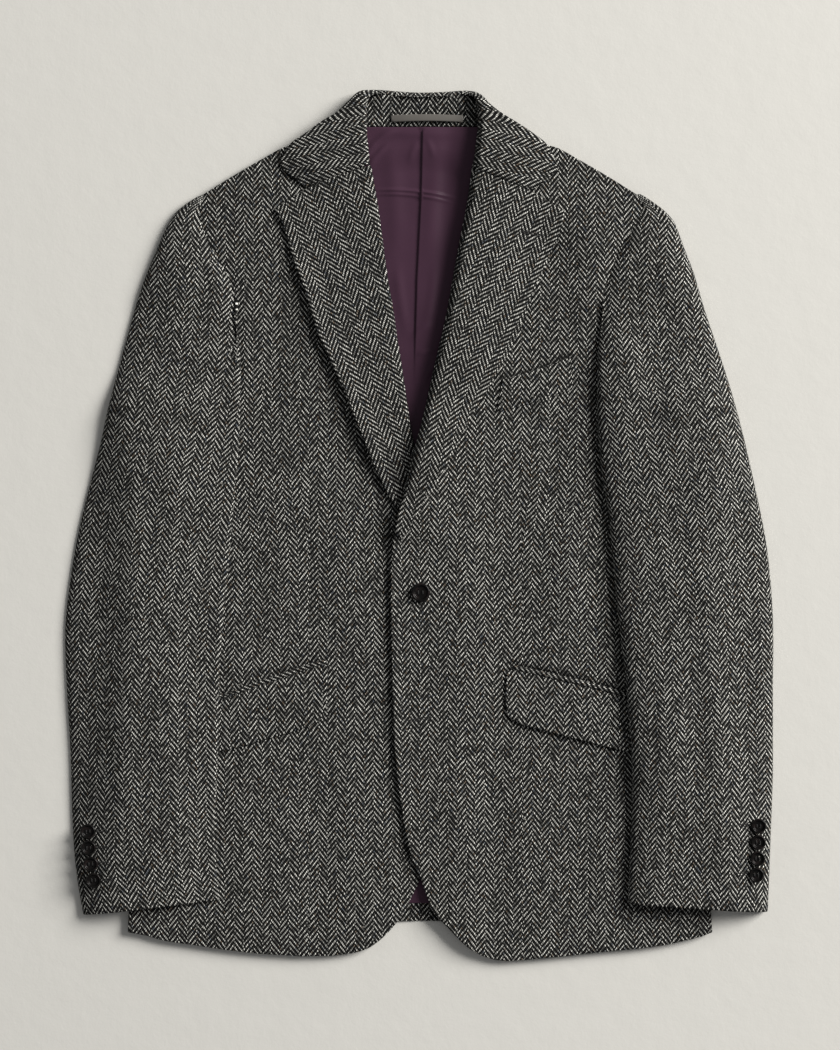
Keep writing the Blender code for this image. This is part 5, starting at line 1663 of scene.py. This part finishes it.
def horn():
    """Near-black horn with faint brown clouds."""
    trim = bpy.context.scene.jacket_trim
    g = Graph("button_horn")
    place = g.node("ShaderNodeTexCoord").outputs["Object"]
    cloud = g.noise(place, 220.0, 3.0)
    brown = tuple(2.2 * c for c in trim.horn)
    clouded = g.mix(g.smooth(cloud, 0.45, 0.7), rgba(trim.horn),
                    (brown[0] * 1.3, *brown[1:], 1.0))
    return g.finish({"Base Color": clouded,
                     "Normal": g.bump(0.12, 0.0001, g.noise(place, 900.0, 3.0)),
                     "Roughness": g.scaled(cloud, 0.10, 0.20), "Specular IOR Level": 0.15})


def thread_paint(name, base):
    """Matt twisted thread."""
    g = Graph(name)
    place = g.node("ShaderNodeTexCoord").outputs["Object"]
    tone = g.scaled(g.noise(place, 2400.0), 0.8, 0.6)
    return g.finish({"Base Color": g.shaded(rgba(base), tone), "Roughness": 0.8})


def floor_paint():
    """Pale painted floor with faint brushed relief."""
    stage = bpy.context.scene.jacket_stage
    g = Graph("floor")
    place = g.node("ShaderNodeTexCoord").outputs["Object"]
    brush = g.noise(place, 34.0, 6.0, 0.62)
    grain = g.noise(place, 420.0, 3.0, 0.6)
    tone = g.scaled(brush, 0.035, 0.9825)
    height = g.math("ADD", brush, g.times(grain, 0.12))
    return g.finish({"Base Color": g.shaded(rgba(stage.floor), tone),
                     "Normal": g.bump(0.35, 0.0012, height),
                     "Roughness": 0.85, "Specular IOR Level": 0.2})


# -------------------------------------------------------------- geometry nodes
def stitch_group():
    """Stitches set side by side along a seam line, each one across it."""
    tree = bpy.data.node_groups.new("buttonhole_stitches", "GeometryNodeTree")
    face = tree.interface
    face.new_socket("Geometry", in_out="INPUT", socket_type="NodeSocketGeometry")
    named = {}
    for name in ("Length", "Radius", "Step", "Unevenness"):
        named[name] = face.new_socket(name, in_out="INPUT", socket_type="NodeSocketFloat")
    named["Seed"] = face.new_socket("Seed", in_out="INPUT", socket_type="NodeSocketInt")
    named["Thread"] = face.new_socket("Thread", in_out="INPUT", socket_type="NodeSocketMaterial")
    face.new_socket("Geometry", in_out="OUTPUT", socket_type="NodeSocketGeometry")
    g = Nodes(tree)
    given = g.node("NodeGroupInput").outputs
    curve = g.node("GeometryNodeMeshToCurve", {"Mesh": given["Geometry"]})
    spaced = g.node("GeometryNodeResampleCurve",
                    {"Curve": curve.outputs[0], "Length": given["Step"]}, mode="LENGTH")
    places = g.node("GeometryNodeCurveToPoints", {"Curve": spaced.outputs[0]},
                    mode="EVALUATED").outputs
    half = g.node("ShaderNodeMath", {0: given["Length"], 1: 0.5}, operation="MULTIPLY")
    shape = g.node("ShaderNodeCombineXYZ",
                   {0: half.outputs[0], 1: given["Radius"], 2: given["Radius"]})
    least = g.node("ShaderNodeMath", {0: 1.0, 1: given["Unevenness"]}, operation="SUBTRACT")
    most = g.node("ShaderNodeMath", {0: 1.0, 1: given["Unevenness"]}, operation="ADD")
    jitter = g.node("FunctionNodeRandomValue",
                    {"Min": least.outputs[0], "Max": most.outputs[0], "Seed": given["Seed"]},
                    data_type="FLOAT_VECTOR")
    scaled = g.node("ShaderNodeVectorMath",
                    {0: shape.outputs[0], 1: jitter.outputs["Value"]}, operation="MULTIPLY")
    strand = g.node("GeometryNodeMeshUVSphere", {"Segments": 8, "Rings": 6})
    laid = g.node("GeometryNodeInstanceOnPoints",
                  {"Points": places["Points"], "Instance": strand.outputs["Mesh"],
                   "Rotation": places["Rotation"], "Scale": scaled.outputs[0]})
    real = g.node("GeometryNodeRealizeInstances", {0: laid.outputs[0]})
    painted = g.node("GeometryNodeSetMaterial",
                     {"Geometry": real.outputs[0], "Material": given["Thread"]})
    g.node("NodeGroupOutput", {0: painted.outputs[0]})
    return tree, {name: socket.identifier for name, socket in named.items()}


def stitched(name, lines, values, paint):
    """A piece of stitches along lines of places, made by the stitch group."""
    verts, edges = [], []
    for line in lines:
        edges += [(len(verts) + i, len(verts) + i + 1) for i in range(len(line) - 1)]
        verts += [tuple(p) for p in line]
    mesh = bpy.data.meshes.new(name + "_line")
    mesh.from_pydata(verts, edges, [])
    source = add_object(name + "_line", mesh)
    tree, sockets = stitch_group()
    modifier = source.modifiers.new("stitches", "NODES")
    modifier.node_group = tree
    for key, value in {**values, "Thread": paint}.items():
        modifier[sockets[key]] = value
    graph = bpy.context.evaluated_depsgraph_get()
    source.update_tag()
    graph.update()
    made_mesh = bpy.data.meshes.new_from_object(source.evaluated_get(graph), depsgraph=graph)
    source.modifiers.clear()
    bpy.data.objects.remove(source, do_unlink=True)
    if not made_mesh.polygons:
        raise RuntimeError(f"{name} came out empty")
    made_mesh.shade_smooth()
    return add_object(name + PIECE, made_mesh)


# ------------------------------------------------------------------ operators
def tweed():
    """The jacket's cloth, made once and shared by the pieces that are cut from it."""
    return bpy.data.materials.get("herringbone_cloth") or herringbone()


def settle(pieces):
    """Pieces that ride on the jacket's one body and stand for the nodes named like them."""
    for piece in pieces:
        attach(piece, "root")
        node = piece.name.removesuffix(PIECE)
        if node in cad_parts:
            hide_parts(node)


class Sheet(NamedTuple):
    """Flat cut of the cloth that shows in one piece, in metres, and what it lies on."""
    width: float
    length: float
    area: float
    held: str
    rests_on: tuple


class JACKET_OT_body(bpy.types.Operator):
    """Build the backs, lining and fronts."""
    bl_idname = "jacket.body"
    bl_label = "Body"

    def execute(self, context):
        cloth = build_backs(tweed()) + build_fronts(tweed())
        weave = context.scene.jacket_weave
        lining = build_lining(satin("lining_satin", tuple(weave.lining), 0.36, 0.35))
        settle(cloth)
        settle([lining])
        return {"FINISHED"}


class JACKET_OT_lapels(bpy.types.Operator):
    """Build the lapel leaves and the collar."""
    bl_idname = "jacket.lapels"
    bl_label = "Lapels and collar"

    def execute(self, context):
        cloth = build_lapels(tweed()) + [build_collar(tweed())]
        settle(cloth)
        return {"FINISHED"}


class JACKET_OT_sleeves(bpy.types.Operator):
    """Build both sleeves."""
    bl_idname = "jacket.sleeves"
    bl_label = "Sleeves"

    def execute(self, context):
        cloth = (build_sleeve("right", RIGHT_SLEEVE, 1.0, tweed())
                 + build_sleeve("left", LEFT_SLEEVE, -1.0, tweed()))
        settle(cloth)
        return {"FINISHED"}


class JACKET_OT_trim(bpy.types.Operator):
    """Build the pocket pieces, collar stand and hanger loop."""
    bl_idname = "jacket.trim"
    bl_label = "Pockets and stand"

    def execute(self, context):
        weave = context.scene.jacket_weave
        cloth = build_trim(tweed(), satin("loop_satin", tuple(weave.tape), 0.33, 0.25))
        settle(cloth[:-1])
        settle(cloth[-1:])
        return {"FINISHED"}


def surface(x, y, layer):
    """Top of the finished cloth at a place: a front, a lapel or a sleeve."""
    x, y = np.asarray(x, float), np.asarray(y, float)
    graph = bpy.context.evaluated_depsgraph_get()
    host = bpy.data.objects[layer + PIECE].evaluated_get(graph)
    out = []
    for px, py in zip(np.atleast_1d(x), np.atleast_1d(y)):
        start = Vector(((px - MIDDLE[0]) * MM, (py - MIDDLE[1]) * MM, 0.2))
        hit, place, *_ = host.ray_cast(start, Vector((0.0, 0.0, -1.0)))
        if not hit:
            raise RuntimeError(f"no cloth of {layer} at {px:.1f}, {py:.1f}")
        out.append(place.z / MM)
    return np.array(out)


def buttonhole_line(start, end, eye, layer, half_width=0.9):
    """A narrow loop round a buttonhole, widening to a keyhole eye at its start."""
    start, end = np.array(start, float), np.array(end, float)
    reach = float(np.hypot(*(end - start)))
    way = (end - start) / reach
    side = np.array([-way[1], way[0]])
    turn = np.linspace(0.0, 2 * pi, 60, endpoint=True)
    along = reach / 2 * (1.0 - np.cos(turn))
    width = half_width * np.sign(np.sin(turn)) * np.abs(np.sin(turn)) ** 0.35
    width = width + eye * np.sin(turn) * bell(along - 2.0, 2.0)
    x = start[0] + way[0] * along + side[0] * width
    y = start[1] + way[1] * along + side[1] * width
    return in_metres(x, y, surface(x, y, layer) + 0.12)


class Buttonhole(NamedTuple):
    """A sewn slit: its two ends, keyhole width, and the cloth that carries it."""
    x0: float
    y0: float
    x1: float
    y1: float
    eye: float
    layer: str


BUTTONHOLES = [Buttonhole(*row) for row in (
    (-16.0, -64.2, 7.5, -64.2, 0.7, "front_right"),
    (-15.5, -187.2, 10.5, -182.6, 0.7, "front_right"),
    (97.4, 278.2, 116.4, 274.6, 0.0, "lapel_right"),
    (300.4, -330.6, 312.8, -330.9, 0.4, "sleeve_top_right"),
    (301.4, -315.2, 313.8, -315.5, 0.4, "sleeve_top_right"),
    (302.2, -299.8, 314.6, -300.1, 0.4, "sleeve_top_right"),
    (302.6, -284.4, 315.0, -284.7, 0.4, "sleeve_top_right"),
    (-291.2, -336.0, -303.6, -336.6, 0.4, "sleeve_top_left"),
    (-294.0, -320.6, -306.4, -321.2, 0.4, "sleeve_top_left"),
    (-296.1, -305.2, -308.5, -305.8, 0.4, "sleeve_top_left"),
    (-296.8, -289.8, -309.2, -290.4, 0.4, "sleeve_top_left"))]


class JACKET_OT_buttons(bpy.types.Operator):
    """Build the buttons with their threads."""
    bl_idname = "jacket.buttons"
    bl_label = "Buttons"

    def execute(self, context):
        trim, gap = context.scene.jacket_trim, cloth_size("seam_gap")
        paint = horn()
        strands, made = [], []
        top = float(surface(FRONT_BUTTON.x, FRONT_BUTTON.y, "front_right")[0]) + gap
        made.append(build_button("button_front", FRONT_BUTTON, top, trim.front_button / MM,
                                 paint))
        strands += button_threads(FRONT_BUTTON, top, trim.front_button / MM)
        for side, places in CUFF_BUTTONS.items():
            for number, place in enumerate(places, 1):
                reach = trim.cuff_button / MM * 0.42
                ring = surface([place.x - reach, place.x + reach, place.x],
                               [place.y] * 3, f"sleeve_top_{side}")
                top = float(ring.max()) + gap
                made.append(build_button(f"button_cuff_{side}_{number}", place, top,
                                         trim.cuff_button / MM, paint))
                strands += button_threads(place, top, trim.cuff_button / MM)
        threads = thread_mesh("button_threads", strands,
                              thread_paint("button_thread", tuple(trim.thread)))
        settle(made + [threads])
        return {"FINISHED"}


class JACKET_OT_sewing(bpy.types.Operator):
    """Sew the buttonholes."""
    bl_idname = "jacket.sewing"
    bl_label = "Buttonholes"

    def execute(self, context):
        trim = context.scene.jacket_trim
        lines = [buttonhole_line((b.x0, b.y0), (b.x1, b.y1), b.eye, b.layer)
                 for b in BUTTONHOLES]
        values = {"Length": trim.stitch / 2, "Radius": trim.thread_radius,
                  "Step": trim.stitch_step, "Unevenness": 0.14, "Seed": 7}
        paint = thread_paint("hole_thread", tuple(trim.thread))
        made = stitched("buttonhole_stitches", lines, values, paint)
        settle([made])
        return {"FINISHED"}


class JACKET_OT_stage(bpy.types.Operator):
    """Set up the floor, light and camera."""
    bl_idname = "jacket.stage"
    bl_label = "Floor and light"

    def execute(self, context):
        stage = context.scene.jacket_stage
        mesh = bpy.data.meshes.new("floor")
        half = 4.0
        corners = [(-half, -half, 0.0), (half, -half, 0.0), (half, half, 0.0), (-half, half, 0.0)]
        mesh.from_pydata(corners, [], [(0, 1, 2, 3)])
        mesh.materials.append(floor_paint())
        ground = add_object("floor", mesh)
        ground.location.z = -0.0002
        lamp = bpy.data.lights.new("key", "AREA")
        lamp.energy, lamp.shape, lamp.size = stage.key, "SQUARE", stage.key_size
        lamp.color = (1.0, 0.985, 0.955)
        key = add_object("key", lamp)
        turn, tilt = radians(stage.key_azimuth), radians(stage.key_height)
        way = Vector((cos(turn) * cos(tilt), sin(turn) * cos(tilt), sin(tilt)))
        key.location = way * stage.key_distance
        key.rotation_euler = way.to_track_quat("Z", "Y").to_euler()
        world = bpy.data.worlds.new("room")
        world.use_nodes = True
        background = world.node_tree.nodes["Background"]
        background.inputs["Color"].default_value = (0.97, 0.985, 1.0, 1.0)
        background.inputs["Strength"].default_value = stage.fill
        context.scene.world = world
        context.scene.view_settings.view_transform = "Standard"
        camera_data = bpy.data.cameras.new("camera")
        camera_data.lens, camera_data.sensor_width = stage.lens, 36.0
        camera = add_object("camera", camera_data)
        distance_up = stage.frame_height * stage.lens / camera_data.sensor_width
        camera.location = (-MIDDLE[0] * MM, -MIDDLE[1] * MM, distance_up + 0.01)
        camera_data.clip_end = 20.0
        context.scene.camera = camera
        return {"FINISHED"}


OPERATORS = (JACKET_OT_body, JACKET_OT_lapels, JACKET_OT_sleeves, JACKET_OT_trim,
             JACKET_OT_buttons, JACKET_OT_sewing, JACKET_OT_stage)


class JACKET_PT_panel(bpy.types.Panel):
    """Settings and build steps of the jacket."""
    bl_label = "Jacket"
    bl_idname = "JACKET_PT_panel"
    bl_space_type = "VIEW_3D"
    bl_region_type = "UI"
    bl_category = "Jacket"

    def draw(self, context):
        for operator in OPERATORS:
            self.layout.operator(operator.bl_idname)
        for name, group in GROUPS:
            box = self.layout.box()
            for field in group.__annotations__:
                box.prop(getattr(context.scene, name), field)


def register():
    """Add the settings, operators and panel."""
    for kind in [group for _, group in GROUPS] + [*OPERATORS, JACKET_PT_panel]:
        bpy.utils.register_class(kind)
    for name, group in GROUPS:
        setattr(bpy.types.Scene, name, PointerProperty(type=group))


def unregister():
    """Take them away again."""
    for name, _ in GROUPS:
        delattr(bpy.types.Scene, name)
    for kind in reversed([group for _, group in GROUPS] + [*OPERATORS, JACKET_PT_panel]):
        bpy.utils.unregister_class(kind)


def main():
    """Build every piece in order."""
    register()
    for step in ("body", "lapels", "sleeves", "trim", "buttons", "sewing", "stage"):
        if getattr(bpy.ops.jacket, step)() != {"FINISHED"}:
            raise RuntimeError(f"jacket.{step} didn't finish")


if __name__ == "__main__":
    main()
